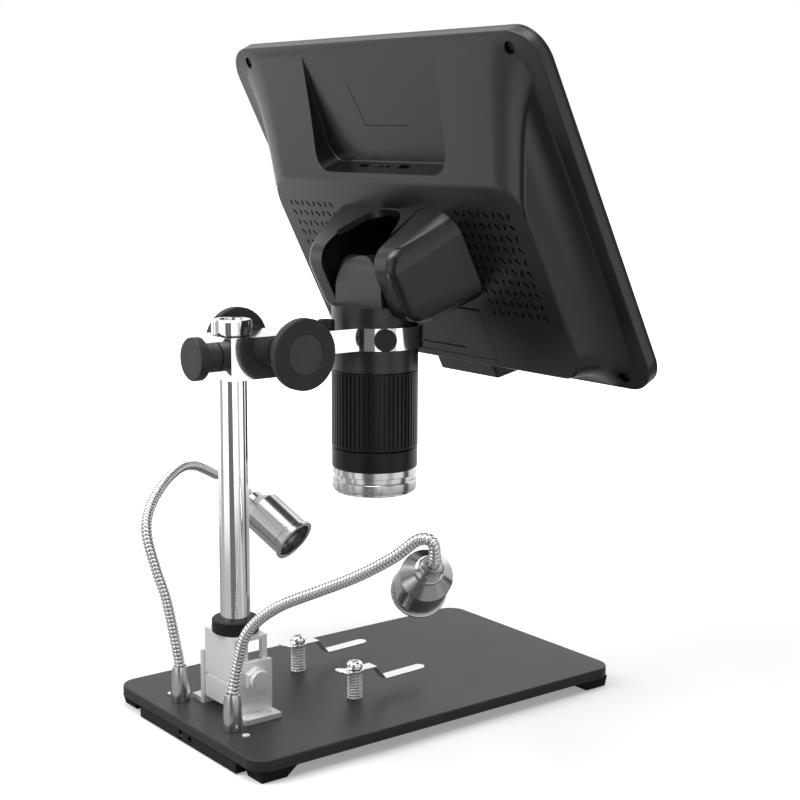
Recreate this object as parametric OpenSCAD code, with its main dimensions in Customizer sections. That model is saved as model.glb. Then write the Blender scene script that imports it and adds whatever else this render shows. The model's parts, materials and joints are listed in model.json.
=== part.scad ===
// Bench microscope with a hinged screen, carried on a rack and pinion post stand.
// Z is up and the stand rests on Z = 0. X = 0, Y = 0 is the middle of the base.
// The post stands at +Y, and the user faces the screen from -Y.

/* [Base] */
// Width of the base plate
base_w = 120; // [116:1:150]
// Depth of the base plate
base_d = 200; // [190:1:250]
// Thickness of the base plate
base_t = 5; // [4:0.5:8]
// Radius of the base plate's corners
base_r = 9; // [5:1:14]
// Height of the feet, which is the room under the plate
foot_h = 5; // [5:0.5:8]
// Side of a foot across the plate
foot_w = 11; // [8:1:12]
// Depth of the port housing under the rear edge
port_d = 30; // [28:1:36]

/* [Post stand] */
// Diameter of the post
post_dia = 13; // [12:0.5:14]
// Distance from the rear edge of the plate to the post's axis
post_back = 27.4; // [25:0.2:30]
// Height of the foot bracket's top face above the floor
bracket_top = 45; // [42:1:50]
// Outside width of the foot bracket
bracket_w = 25; // [24:0.5:27]
// Height of the post's top end above the floor
post_top = 174.8; // [165:0.2:195]
// Distance from the post's axis to the camera barrel's axis
reach = 75.3; // [70:0.1:80]
// Height of the carriage block
carriage_h = 17.8; // [16:0.2:22]
// Module of the rack and its two gears
gear_module = 0.6; // [0.5:0.1:0.6]
// Diameter of the two lift knobs
knob_dia = 30.5; // [24:0.5:34]

/* [Camera barrel] */
// Diameter of the camera barrel
barrel_dia = 39.3; // [37:0.1:40]
// Height of the barrel's front end above the floor, with the carriage at the top
barrel_bottom = 97.8; // [90:0.1:102]
// Height of the screen's hinge axis, with the carriage at the top
hinge_z = 198; // [196:0.5:204]
// Number of grooves round the focus ring
focus_ribs = 56; // [40:2:72]
// Diameter of the hinge shaft
hinge_dia = 7; // [6:0.5:8]

/* [Screen] */
// Width of the screen housing
screen_w = 220.6; // [216:0.2:240]
// Height of the screen housing
screen_h = 166.3; // [164:0.1:180]
// Depth of the screen's back hump behind the front face
hump_depth = 24; // [22:0.5:27]
// Lean of the screen away from upright
screen_tilt = 27; // [20:1:35]
// Wall of the screen housing
shell_t = 2.2; // [1.6:0.1:2.4]
// Width of the picture
picture_w = 194; // [180:1:196]
// Height of the picture
picture_h = 121; // [112:1:122]

/* [Lamps and clips] */
// Diameter of a lamp head
lamp_dia = 21.3; // [19:0.1:23]
// Length of a lamp head's barrel
lamp_len = 24; // [20:0.5:28]
// Diameter of a gooseneck
neck_dia = 4.8; // [4.4:0.1:5]
// Width of a stage clip
clip_w = 8; // [7:0.5:9]
// Thickness of a stage clip
clip_t = 0.8; // [0.6:0.1:1]

/* [Hidden] */
$fn = 64;
e = 0.01;
running = 0.05;
gap = 0.3;

plate_top = foot_h + base_t;
rear_y = base_d / 2;
post_y = rear_y - post_back;
post_r = post_dia / 2;
barrel_y = post_y - reach;
barrel_r = barrel_dia / 2;

// Base
foot_inset = 2;
foot_len = 12;
foot_top_len = 20;
foot_draft = 1.5;
port_z0 = 0.5;
port_wall = 1.2;
port_x0 = 16.4 - base_w / 2;
port_x1 = base_w / 2 - 22.6;
jack_x = -6.4;
jack_z = 3.35;
jack_r = 1.4;
jack_w = 6;
jack_deep = 9;
switch_x = 1.6;
switch_w = 2.6;
switch_t = 1.2;
plate_screw_x = base_w / 2 - 28.5;
plate_screw_y = rear_y - 12.6;
plate_screw_r = 1.2;
plate_boss_r = 3;
socket_x = plate_screw_x - 9.5;
socket_y = rear_y - 12;
socket_h = 16;
socket_r = 4.3;
socket_tip_r = 3.25;
socket_stem_r = 3;
socket_nut_r = 4.6;
socket_nut_h = 2.4;
lamp_board_t = 1;
clip_x = 22.6;
clip_y = barrel_y + 27.5;
clip_screw_r = 2;
flange_screw_r = 1.5;
screw_head_r = 2.6;
screw_seat = 2;

// Foot bracket
bracket_d = 16.3;
bracket_wall = 2.4;
bracket_sheet = 1.6;
bracket_bottom = plate_top + 3.5;
angle_t = 2.2;
angle_h = 24.5;
angle_d = 18.4;
flange_w = 7.4;
bolt_z = 27.4;
bolt_r = 2.9;
bolt_head_h = 3.4;
nut_r = 5.7;
nut_h = 4;
collar_r = 10.25;
collar_h = 6;

// Carriage and gear train
carriage_top = post_top - gap;
carriage_z0 = carriage_top - carriage_h;
carriage_w = 25;
carriage_y1 = post_y + post_r + 1.4;
axle_z = carriage_z0 + 11;
pinion_teeth = 13;
idler_teeth = 15;
pinion_pr = gear_module * pinion_teeth / 2;
idler_pr = gear_module * idler_teeth / 2;
rack_y = post_y - post_r + 0.8;
idler_y = rack_y - idler_pr;
pinion_y = idler_y - idler_pr - pinion_pr;
gear_w = 2.6;
rack_w = 3;
rack_back = 3.2;
rack_z0 = 92;
rack_z1 = post_top - 1.6;
axle_r = 3;
idler_axle_r = 1.5;
knob_x = 28.4;
knob_t = 4;
hub_r = 8.35;
arm_h = 10;
arm_z1 = carriage_top - 0.1;
arm_z0 = arm_z1 - arm_h;
arm_y0 = post_y - 31.6;
ring_r = barrel_r + 2.2;
tongue_w = 12;
tongue_h = 5;
tongue_len = 20;
arm_screw_y = arm_y0 - 17;
arm_screw_r = 2;
ring_screw_angle = 155;
ring_screw_head_r = 5;
tension_r = 6.25;
tension_grip_r = 9.2;
tension_stem_r = 3;

// Camera barrel
sleeve_r = barrel_r - 2.25;
sleeve_wall = 2.4;
neck_z0 = 154;
neck_z1 = 183;
cap_chamfer = 1.2;
neck_half = 9.5;
neck_side = 17.5;
arch_z = neck_z1 + 4.5;
neck_boss_r = 6.3;
focus_z0 = 118.6;
band_z0 = 109.3;
sensor_z = 160;
cell_z0 = 125;
cell_h = 12;
lens_r = 8;
window_z = barrel_bottom + 2.4;
window_t = 1.2;
window_r = 14.2;
hinge_r = hinge_dia / 2;

// Screen, in its own frame: x across, y up the glass, z out of the glass
hinge_v = -10;
hinge_d = 44;
slab_d = 6.1;
slab_r = 15;
bezel_t = 1.8;
picture_v = 8;
panel_t = 3;
panel_edge = 3;
panel_side_room = 0.8;
panel_top_room = 6.9;
hump_w = screen_w - 40.2;
hump_v0 = -69;
hump_v1 = 23.1;
hump_flare = 12.8;
hump_foot = screen_h / 2 - 0.95 + hump_v0;
hump_brow = screen_h / 2 - 2.55 - hump_v1;
hump_r = 14;
cavity_r = 6;
boss_d = 17.4;
boss_w = 41;
boss_v = 1.75 - screen_h / 2;
boss_slope = 12;
pocket_w = 96;
pocket_v0 = 27.4;
pocket_r = 10;
pocket_floor0 = 12;
pocket_floor1 = 7;
ear_x0 = barrel_r + gap;
ear_x1 = 31.6;
ear_foot_x = 45;
ear_foot_r = 10;
ear_foot_v0 = -32.5;
ear_foot_v1 = 10.5;
ear_tip_d = 57;
ear_low_v = -19.5;
ear_low_r = 12;
ear_high_v = -4;
ear_high_r = 10.5;
mount_w = 70;
mount_v0 = -35.5;
mount_v1 = 7.2;
pan_d = 14;
pan_wall = 2;
door_w = 72;
door_v0 = -65;
door_v1 = -38.5;
battery_d = 11.5;
board_d = 6.5;
board_t = 1.6;
board_w = 140;
board_v0 = -34;
board_v1 = 24.4;
board_post_r = 3;
chip_w = 16;
chip_t = 1.5;
chip_x = [-38, -2, 34];
chip_v = -28;
screw_x = screen_w / 2 - 15.4;
screw_v = screen_h / 2 - 6.95;
screw_tip = 0.8;
screw_post_r = 4.6;
key_v = -68;
key_w = 12;
key_h = 5;
key_x = [-24, 0, 24];
key_proud = 0.8;
key_rim = 1.2;
key_board_w = 72;
key_board_h = 10;

// Lamps: the place of the mouth and the way it faces
lamp_r = lamp_dia / 2;
neck_r = neck_dia / 2;
lamp_back = 17.5;
lamp_wall = 1.2;
lens_t = 2.4;
lens_deep = 6.8;
left_socket = [-socket_x, socket_y, plate_top];
right_socket = [socket_x, socket_y, plate_top];
lamp_left_at = left_socket + [-52.6, -57.8, 63];
lamp_left_dir = [0.748, -0.415, -0.518];
lamp_right_at = right_socket + [48.7, -93.8, 48];
lamp_right_dir = [-0.791, -0.297, -0.536];
// Where each gooseneck runs, from the foot of its socket to its lamp
left_bends = [
    [0, 0, 10.4], [0, 0, 15.6], [0, -1.6, 23], [-2, -2.5, 32], [-6, -3, 42],
    [-11, -5.5, 49], [-18, -8.5, 55], [-26, -11.6, 60], [-41, -18.6, 67.7], [-58, -23.8, 76.5],
    [-74, -29, 86.7], [-83.5, -33, 94.8], [-89.2, -35.6, 94.8], [-88, -37.9, 87.9],
    [-83.7, -40.6, 84.5], [-77.7, -43.9, 80.4]
];
right_bends = [
    [0, 0, 10.4], [0, 0, 15.6], [1.6, 1.4, 28], [5, 3.5, 46], [10, 5.7, 59.5],
    [17, 6, 74], [26, -1, 83], [35, -13.5, 91], [42, -26, 95], [49, -37, 93.5],
    [57, -48.6, 88.4], [63, -57.4, 84], [71, -66.4, 81.4], [82.5, -73.4, 81.6], [89.5, -77.8, 76.4],
    [81.6, -81.4, 70.2], [75.3, -83.8, 65.9]
];
clip_spring_turns = 7;
clip_wire_r = 0.55;
clip_coil_r = 3.1;
clip_z = 23;
clip_tip_z = 16.4;
clip_tail_len = 9.9;
clip_tip_len = 38.8;
clip_tail_rise = 1.2;
clip_shank = 0.72;

// ---- shared shapes ----

// Rectangle with round corners, centred
module round_rect(w, d, r) {
    square([w - 2 * r, d], center = true);
    square([w, d - 2 * r], center = true);
    for (sx = [-1, 1], sy = [-1, 1])
        translate([sx * (w / 2 - r), sy * (d / 2 - r)])
            circle(r);
}

// Turns local x, y, z to Y, Z, X, so that a profile stands in the Y, Z plane
module along_x() {
    rotate([90, 0, 90])
        children();
}

// Cylinder along X from x0 to x1
module x_rod(x0, x1, y, z, r) {
    translate([x0, y, z])
        rotate([0, 90, 0])
            cylinder(h = x1 - x0, r = r);
}

// Hexagonal prism along Z
module hex_prism(r, h) {
    cylinder(h = h, r = r, $fn = 6);
}

// Places children on both sides of the middle plane
module both_sides() {
    children();
    mirror([1, 0, 0])
        children();
}

// Points on an arc
function arc(cx, cy, r, a0, a1, n) =
    [for (i = [0:n]) let(a = a0 + (a1 - a0) * i / n) [cx + r * cos(a), cy + r * sin(a)]];

// Outline of a spur gear with straight-sided teeth
function gear_outline(teeth) =
    let(pr = gear_module * teeth / 2, root = pr - 0.7 * gear_module,
        tip = pr + 0.5 * gear_module, step = 360 / teeth)
    [for (i = [0:teeth - 1]) each [
        for (p = [[root, -0.27], [tip, -0.1], [tip, 0.1], [root, 0.27]])
            let(a = step * (i + p[1])) [p[0] * cos(a), p[0] * sin(a)]]];

function unit(v) = v / norm(v);

// Point at t on the smooth curve from b to c, with neighbours a and d
function blend_point(a, b, c, d, t) =
    0.5 * (2 * b + (c - a) * t + (2 * a - 5 * b + 4 * c - d) * t * t
        + (3 * b - a - 3 * c + d) * t * t * t);

function smooth_path(pts, steps) =
    let(last = len(pts) - 1)
    concat(
        [for (i = [0:last - 1]) for (k = [0:steps - 1])
            blend_point(pts[max(i - 1, 0)], pts[i], pts[i + 1], pts[min(i + 2, last)], k / steps)],
        [pts[last]]);

function tangents(p) =
    let(last = len(p) - 1)
    [for (i = [0:last]) unit(p[min(i + 1, last)] - p[max(i - 1, 0)])];

// A normal at each point that turns as little as it can along the path
function carried_normals(t, start) =
    [for (i = 0, n = unit(start - (start * t[0]) * t[0]); i < len(t);
          i = i + 1, n = i < len(t) ? unit(n - (n * t[i]) * t[i]) : n) n];

// Round tube of one radius swept along a path
module swept_tube(p, r, sides, start) {
    t = tangents(p);
    n = carried_normals(t, start);
    points = [for (i = [0:len(p) - 1]) for (k = [0:sides - 1])
        let(a = 360 * k / sides) p[i] + r * (cos(a) * n[i] + sin(a) * cross(t[i], n[i]))];
    rings = len(p);
    walls = [for (i = [0:rings - 2]) for (k = [0:sides - 1])
        let(k2 = (k + 1) % sides)
        each [[i * sides + k, (i + 1) * sides + k, (i + 1) * sides + k2],
              [i * sides + k, (i + 1) * sides + k2, i * sides + k2]]];
    first_cap = [for (k = [0:sides - 1]) k];
    last_cap = [for (k = [sides - 1:-1:0]) (rings - 1) * sides + k];
    polyhedron(points, concat(walls, [first_cap, last_cap]), convexity = 6);
}

// ---- base ----

module base_plate() {
    color("#3b3b3b")
        difference() {
            translate([0, 0, foot_h])
                linear_extrude(base_t)
                    round_rect(base_w, base_d, base_r);
            for (sx = [-1, 1]) {
                translate([sx * socket_x, socket_y, foot_h - e])
                    cylinder(h = base_t + 2 * e, r = socket_stem_r + running);
                translate([sx * plate_screw_x, plate_screw_y, foot_h - e])
                    cylinder(h = base_t + 2 * e, r = plate_screw_r + running);
                translate([sx * clip_x, clip_y, foot_h - e])
                    cylinder(h = base_t + 2 * e, r = clip_screw_r + 0.02);
                for (y = flange_screw_y())
                    translate([sx * flange_screw_x(), y, foot_h - e]) {
                        cylinder(h = base_t + 2 * e, r = flange_screw_r + running);
                        cylinder(h = screw_seat + e, r = screw_head_r + 0.1);
                    }
            }
        }
}

function flange_screw_x() = bracket_w / 2 + angle_t + flange_w / 2;
function flange_screw_y() = [post_y - angle_d / 2 + 4.5, post_y + angle_d / 2 - 4.5];

module base_feet() {
    color("#1c1c1c")
        for (sx = [-1, 1], sy = [-1, 1])
            scale([sx, sy, 1])
                translate([base_w / 2 - foot_inset - foot_w, 0, 0])
                    along_x()
                        linear_extrude(foot_w)
                            polygon([
                                [rear_y - foot_inset, foot_h],
                                [rear_y - foot_inset - foot_top_len, foot_h],
                                [rear_y - foot_inset - foot_len - foot_draft, 0],
                                [rear_y - foot_inset - foot_draft, 0]]);
}

module port_housing() {
    w = port_x1 - port_x0;
    color("#262626")
        difference() {
            union() {
                difference() {
                    translate([port_x0, rear_y - port_d, port_z0])
                        cube([w, port_d, foot_h - port_z0]);
                    translate([port_x0 + port_wall, rear_y - port_d + port_wall, port_z0 + port_wall])
                        cube([w - 2 * port_wall, port_d - 2 * port_wall, foot_h]);
                }
                for (sx = [-1, 1])
                    translate([sx * plate_screw_x, plate_screw_y, port_z0])
                        cylinder(h = foot_h - port_z0, r = plate_boss_r);
            }
            for (sx = [-1, 1])
                translate([sx * plate_screw_x, plate_screw_y, port_z0 + port_wall])
                    cylinder(h = foot_h, r = plate_screw_r);
            translate([jack_x, rear_y - port_wall - 1, jack_z])
                rotate([-90, 0, 0])
                    cylinder(h = port_wall + 2, r = jack_r);
            translate([switch_x - switch_w / 2, rear_y - port_wall - 1, port_z0 + 0.5])
                cube([switch_w, port_wall + 2, foot_h]);
        }
}

module lamp_driver_board() {
    color("#1f5a33")
        translate([7 - socket_x, rear_y - port_d + port_wall + gap, port_z0 + port_wall])
            cube([2 * (socket_x - 7), socket_y - rear_y + port_d - 2 * port_wall - 1, lamp_board_t]);
}

module power_jack() {
    color("#2b2b2b")
        difference() {
            translate([jack_x - jack_w / 2, rear_y - port_wall - jack_deep - 1.5, port_z0 + port_wall])
                cube([jack_w, jack_deep + 1.5, foot_h - port_z0 - port_wall]);
            translate([jack_x, rear_y - port_wall - jack_deep, jack_z])
                rotate([-90, 0, 0])
                    cylinder(h = jack_deep + 1, r = jack_r);
        }
}

// The slide lies in the housing's slot, and its shoe runs behind the wall
module lamp_switch() {
    shoe_z = port_z0 + port_wall + 0.2;
    color("#151515") {
        translate([switch_x - switch_w / 2 + 0.4, rear_y - port_wall - 1.5, shoe_z])
            cube([switch_w - 0.8, port_wall + 1.2, switch_t]);
        translate([switch_x - 2.5, rear_y - port_wall - 3.2, shoe_z])
            cube([5, 2.8, switch_t]);
    }
}

module gooseneck_sockets() {
    color("#d9dadc")
        for (sx = [-1, 1])
            translate([sx * socket_x, socket_y, 0])
                difference() {
                    union() {
                        translate([0, 0, plate_top])
                            rotate_extrude()
                                polygon([[0, 0], [socket_r, 0], [socket_r, 5],
                                    [socket_r - 0.25, socket_h * 0.55],
                                    [socket_tip_r + 0.15, socket_h * 0.85],
                                    [socket_tip_r, socket_h], [0, socket_h]]);
                        translate([0, 0, 1.9])
                            cylinder(h = plate_top - 1.8, r = socket_stem_r);
                    }
                    translate([0, 0, 20])
                        cylinder(h = socket_h, r = neck_r + 0.15);
                }
}

module gooseneck_nuts() {
    color("#b9babc")
        for (sx = [-1, 1])
            translate([sx * socket_x, socket_y, foot_h - socket_nut_h])
                difference() {
                    hex_prism(socket_nut_r, socket_nut_h);
                    translate([0, 0, -1])
                        cylinder(h = 5, r = socket_stem_r + 0.02);
                }
}

module base_screws() {
    color("#e6e6e6") {
        for (sx = [-1, 1]) {
            translate([sx * plate_screw_x, plate_screw_y, foot_h - 2.6])
                cylinder(h = base_t + 2.6 + e, r = plate_screw_r);
            translate([sx * plate_screw_x, plate_screw_y, plate_top])
                cylinder(h = 0.5, r = plate_screw_r + 0.4);
            for (y = flange_screw_y())
                translate([sx * flange_screw_x(), y, foot_h + 0.2]) {
                    cylinder(h = screw_seat - 0.2, r = screw_head_r);
                    cylinder(h = base_t + 1.6, r = flange_screw_r);
                }
        }
    }
}

// ---- foot bracket ----

module angle_brackets() {
    x0 = bracket_w / 2 + 0.05;
    color("#c9cacb")
        both_sides()
            difference() {
                union() {
                    translate([x0, post_y - angle_d / 2, plate_top])
                        cube([angle_t, angle_d, angle_h]);
                    translate([x0, post_y - angle_d / 2, plate_top])
                        cube([angle_t + flange_w, angle_d, angle_t]);
                }
                x_rod(x0 - 1, x0 + angle_t + 1, post_y, bolt_z, bolt_r + 0.1);
                for (y = flange_screw_y())
                    translate([flange_screw_x(), y, plate_top - 1])
                        cylinder(h = 5, r = flange_screw_r + 0.02);
            }
}

module post_bracket() {
    y0 = post_y - bracket_d / 2;
    color("#d4d5d6")
        difference() {
            translate([-bracket_w / 2, y0, bracket_bottom])
                cube([bracket_w, bracket_d, bracket_top - bracket_bottom]);
            translate([-bracket_w / 2 + bracket_wall, y0 - 1, bracket_bottom - 1])
                cube([bracket_w - 2 * bracket_wall, bracket_d + 1 - bracket_wall,
                    bracket_top - bracket_bottom + 1 - bracket_sheet]);
            translate([0, post_y, bracket_top - 2 * bracket_sheet])
                cylinder(h = 3 * bracket_sheet, r = post_r + 0.02);
            x_rod(-bracket_w, bracket_w, post_y, bolt_z, bolt_r + 0.1);
            translate([-bracket_w, y0 + 2.6, bracket_top - 11])
                cube([2 * bracket_w, 7, 9.4]);
            translate([-bracket_w, y0 + bracket_d - 0.8, bolt_z - 3.6])
                cube([2 * bracket_w, 2, 1]);
        }
}

module bracket_bolt() {
    head_x = -(bracket_w / 2 + 0.05 + angle_t);
    color("#dadbdc") {
        translate([head_x, post_y, bolt_z])
            rotate([0, -90, 0])
                hex_prism(nut_r, bolt_head_h);
        x_rod(head_x - bolt_head_h - 2.3, head_x - bolt_head_h, post_y, bolt_z, nut_r - 1.3);
        x_rod(head_x - e, nut_h + 0.6 - head_x, post_y, bolt_z, bolt_r);
    }
}

module bracket_nut() {
    face_x = bracket_w / 2 + 0.05 + angle_t;
    color("#cfd0d1")
        difference() {
            translate([face_x, post_y, bolt_z])
                rotate([0, 90, 0])
                    hex_prism(nut_r, nut_h);
            x_rod(face_x - 1, face_x + nut_h + 1, post_y, bolt_z, bolt_r + 0.02);
        }
}

// ---- post ----

module post() {
    color("#e3e4e6")
        difference() {
            translate([0, post_y, bracket_top - bracket_sheet])
                cylinder(h = post_top - bracket_top + bracket_sheet, r = post_r);
            translate([-rack_w / 2, post_y - post_r - 1, rack_z0])
                cube([rack_w, rack_y + rack_back - post_y + post_r + 1, rack_z1 - rack_z0]);
            translate([0, post_y + 0.4, post_top - 7])
                cylinder(h = 8, r = 2.3);
        }
}

// Rack of straight-sided teeth, let into a groove in the post
module post_rack() {
    pitch = PI * gear_module;
    tip = rack_y - 0.5 * gear_module;
    root = rack_y + 0.7 * gear_module;
    back = rack_y + rack_back;
    first = ceil((rack_z0 + 1 - axle_z) / pitch);
    last = floor((rack_z1 - 1 - axle_z) / pitch) - 1;
    teeth = [for (k = [first:last]) each [
        for (p = [[root, -0.27], [tip, -0.1], [tip, 0.1], [root, 0.27]])
            [p[0], axle_z + pitch * (k + 0.5 + p[1])]]];
    color("#9a9b9d")
        translate([-rack_w / 2, 0, 0])
            along_x()
                linear_extrude(rack_w)
                    polygon(concat([[back, rack_z0], [root, rack_z0]], teeth,
                        [[root, rack_z1], [back, rack_z1]]));
}

module post_collar() {
    color("#161616")
        translate([0, post_y, bracket_top])
            difference() {
                cylinder(h = collar_h, r = collar_r);
                translate([0, 0, -1])
                    cylinder(h = collar_h + 2, r = post_r + 0.02);
            }
}

module post_cap() {
    color("#e3e4e6")
        translate([0, post_y, 0]) {
            difference() {
                translate([0, 0, post_top])
                    cylinder(h = 6.6, r = 8.55);
                for (a = [0, 90])
                    translate([0, 0, post_top + 6.6])
                        rotate([0, 0, a])
                            cube([4.5, 0.9, 1.6], center = true);
            }
            translate([0, 0.4, post_top - 6])
                cylinder(h = 6 + e, r = 2.28);
        }
}

// ---- stage clips ----

module clip_screws() {
    color("#d9dadc")
        for (sx = [-1, 1])
            translate([sx * clip_x, clip_y, foot_h]) {
                cylinder(h = clip_z - foot_h + clip_t + gap + e, r = clip_screw_r);
                translate([0, 0, clip_z - foot_h + clip_t + gap])
                    cylinder(h = 3.2, r = 3.7);
            }
}

module clip_springs() {
    z0 = plate_top + clip_wire_r + 0.02;
    z1 = clip_z - clip_wire_r - gap;
    steps = 12;
    count = clip_spring_turns * steps;
    path = [for (i = [0:count]) let(a = 360 * i / steps)
        [clip_coil_r * cos(a), clip_coil_r * sin(a), z0 + (z1 - z0) * i / count]];
    color("#c4c5c7")
        for (sx = [-1, 1])
            translate([sx * clip_x, clip_y, 0])
                swept_tube(path, clip_wire_r, 6, [1, 0, 0]);
}

// Flat spring strip, bent down towards its tip, with round ends
module stage_clip(sx) {
    tail = clip_y + clip_tail_len;
    tip = clip_y - clip_tip_len;
    bend = clip_y - clip_w - clip_screw_r;
    foot = bend - 5.4;
    side = [[tail, clip_z + clip_tail_rise], [clip_y + clip_w / 2, clip_z], [bend, clip_z],
        [foot, clip_tip_z], [foot - clip_w / 2, clip_tip_z], [tip, clip_tip_z + 0.5]];
    top = [for (p = side) [p[0], p[1] + clip_t]];
    color("#d6d7d9")
        difference() {
            intersection() {
                translate([sx * clip_x - clip_w, 0, 0])
                    along_x()
                        linear_extrude(2 * clip_w)
                            polygon(concat(side, [for (i = [len(top) - 1:-1:0]) top[i]]));
                translate([sx * clip_x, 0, 0])
                    linear_extrude(2 * clip_z) {
                        translate([0, tail - clip_w / 2])
                            circle(clip_w / 2);
                        translate([0, clip_y])
                            circle(clip_w / 2);
                        translate([-clip_w * clip_shank / 2, tip + clip_w / 2])
                            square([clip_w * clip_shank, tail - tip - clip_w]);
                        translate([0, tip + clip_w / 2])
                            circle(clip_w / 2);
                        translate([-clip_w / 2, tip + clip_w / 2])
                            square([clip_w, clip_w + 1]);
                    }
            }
            translate([sx * clip_x, clip_y, 0])
                cylinder(h = 2 * clip_z, r = clip_screw_r + running);
        }
}

// ---- carriage ----

module carriage_block() {
    half = carriage_w / 2;
    color("#dfe0e2")
        difference() {
            union() {
                translate([-half, arm_y0, carriage_z0])
                    cube([carriage_w, carriage_y1 - arm_y0, carriage_h]);
                translate([-tongue_w / 2, arm_y0 - tongue_len, tongue_z()])
                    cube([tongue_w, tongue_len + 1, tongue_h]);
            }
            translate([0, post_y, carriage_z0 - 1])
                cylinder(h = carriage_h + 2, r = post_r + running);
            x_rod(-half - 1, gear_w / 2 + 0.4, pinion_y, axle_z, shaft_journal_r() + running);
            x_rod(0, half + 1, pinion_y, axle_z, axle_r + running);
            x_rod(-gear_w / 2 - 0.4, gear_w / 2 + 0.4, idler_y, axle_z, idler_pr + 1);
            x_rod(-9.5, half + 1, idler_y, axle_z, idler_axle_r + running);
            translate([0, post_y, tension_z()])
                rotate([-90, 0, 0])
                    cylinder(h = 20, r = tension_stem_r + running);
        }
}

function tongue_z() = arm_z0 + (arm_h - tongue_h) / 2;
function tension_z() = axle_z - 2;
function shaft_journal_r() = pinion_pr + 0.5 * gear_module + 0.45;

// Ring round the barrel, on an arm that slides over the carriage's tongue
module barrel_holder() {
    color("#dfe0e2")
        difference() {
            union() {
                translate([0, barrel_y, arm_z0])
                    cylinder(h = arm_h, r = ring_r, $fn = 96);
                translate([-carriage_w / 2, barrel_y, arm_z0])
                    cube([carriage_w, arm_y0 - barrel_y, arm_h]);
            }
            translate([0, barrel_y, arm_z0 - 1])
                cylinder(h = arm_h + 2, r = barrel_r + running, $fn = 96);
            translate([-tongue_w / 2 - running, arm_y0 - tongue_len - 0.3, tongue_z() - running])
                cube([tongue_w + 2 * running, tongue_len + 1, tongue_h + 2 * running]);
            translate([0, arm_screw_y, tongue_z()])
                cylinder(h = arm_h, r = arm_screw_r + 0.02);
            translate([0, barrel_y, (arm_z0 + arm_z1) / 2])
                rotate([0, 0, ring_screw_angle])
                    x_rod(barrel_r - 2, ring_r + 3, 0, 0, arm_screw_r + 0.02);
        }
}

module arm_screw() {
    color("#1a1a1a")
        translate([0, arm_screw_y, 0]) {
            translate([0, 0, arm_z1])
                difference() {
                    cylinder(h = 3.4, r = 3.75);
                    translate([0, 0, 1.6])
                        hex_prism(1.7, 3);
                }
            translate([0, 0, tongue_z() + tongue_h])
                cylinder(h = arm_z1 - tongue_z() - tongue_h + e, r = arm_screw_r);
        }
}

module holder_set_screw() {
    color("#2a2a2a")
        translate([0, barrel_y, (arm_z0 + arm_z1) / 2])
            rotate([0, 0, ring_screw_angle]) {
                x_rod(ring_r, ring_r + 2.4, 0, 0, ring_screw_head_r);
                x_rod(barrel_r + 0.1, ring_r + e, 0, 0, arm_screw_r);
            }
}

// ---- lift gears ----

module pinion_shaft() {
    color("#b0b1b3") {
        translate([-gear_w / 2, pinion_y, axle_z])
            along_x()
                linear_extrude(gear_w)
                    polygon(gear_outline(pinion_teeth));
        x_rod(-carriage_w / 2, -gear_w / 2 - 0.2, pinion_y, axle_z, shaft_journal_r());
        x_rod(-knob_x + 2, knob_x - 2, pinion_y, axle_z, axle_r);
    }
}

// Knob of the right side; the left one is its mirror image
module lift_knob() {
    hub_x = carriage_w / 2 + 0.3;
    color("#2c2c2c")
        difference() {
            union() {
                x_rod(hub_x, knob_x - knob_t + e, pinion_y, axle_z, hub_r);
                x_rod(knob_x - knob_t, knob_x, pinion_y, axle_z, knob_dia / 2);
            }
            x_rod(hub_x - 1, knob_x - 2, pinion_y, axle_z, axle_r + 0.01);
            x_rod(knob_x - 0.4, knob_x + 1, pinion_y, axle_z, 9.3);
        }
}

module idler_gear() {
    color("#8d8e90") {
        translate([-gear_w / 2, idler_y, axle_z])
            along_x()
                linear_extrude(gear_w)
                    polygon(gear_outline(idler_teeth));
        x_rod(-9.2, carriage_w / 2 - 0.2, idler_y, axle_z, idler_axle_r);
    }
}

module tension_knob() {
    y0 = carriage_y1 + 0.2;
    color("#1d1d1d")
        translate([0, 0, tension_z()])
            rotate([-90, 0, 0]) {
                translate([0, 0, y0])
                    cylinder(h = 5.6, r = tension_r);
                translate([0, 0, y0 + 5.5])
                    cylinder(h = 6.4, r = tension_grip_r);
                translate([0, 0, post_y + post_r + 0.1])
                    cylinder(h = 2, r = tension_stem_r);
            }
}

// ---- camera barrel ----

// The arched neck is cut from the same round bar as the collar below it
module barrel_neck() {
    arch = concat(
        [[-neck_side, neck_z1 - 1], [neck_side, neck_z1 - 1]],
        arc(0, arch_z, neck_side, 0, 180, 24));
    color("#262626")
        difference() {
            union() {
                translate([0, barrel_y, neck_z0]) {
                    cylinder(h = neck_z1 - neck_z0 - cap_chamfer, r = barrel_r, $fn = 96);
                    translate([0, 0, neck_z1 - neck_z0 - cap_chamfer])
                        cylinder(h = cap_chamfer, r1 = barrel_r, r2 = barrel_r - cap_chamfer, $fn = 96);
                }
                intersection() {
                    translate([0, barrel_y + neck_half, 0])
                        rotate([90, 0, 0])
                            linear_extrude(2 * neck_half)
                                polygon(arch);
                    union() {
                        x_rod(-neck_side, neck_side, barrel_y, hinge_z, neck_half);
                        translate([-neck_side, barrel_y - neck_half, neck_z1 - 1])
                            cube([2 * neck_side, 2 * neck_half, hinge_z - neck_z1 + 1]);
                    }
                    translate([0, barrel_y, neck_z1 - 1])
                        cylinder(h = hinge_z, r = barrel_r, $fn = 96);
                }
                x_rod(-neck_side, neck_side, barrel_y, hinge_z, neck_boss_r);
            }
            translate([0, barrel_y, neck_z0 - 1])
                cylinder(h = neck_z1 - neck_z0 - 4, r = sleeve_r + 0.02, $fn = 96);
            x_rod(-barrel_r, barrel_r, barrel_y, hinge_z, hinge_r + 0.02);
        }
}

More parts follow.
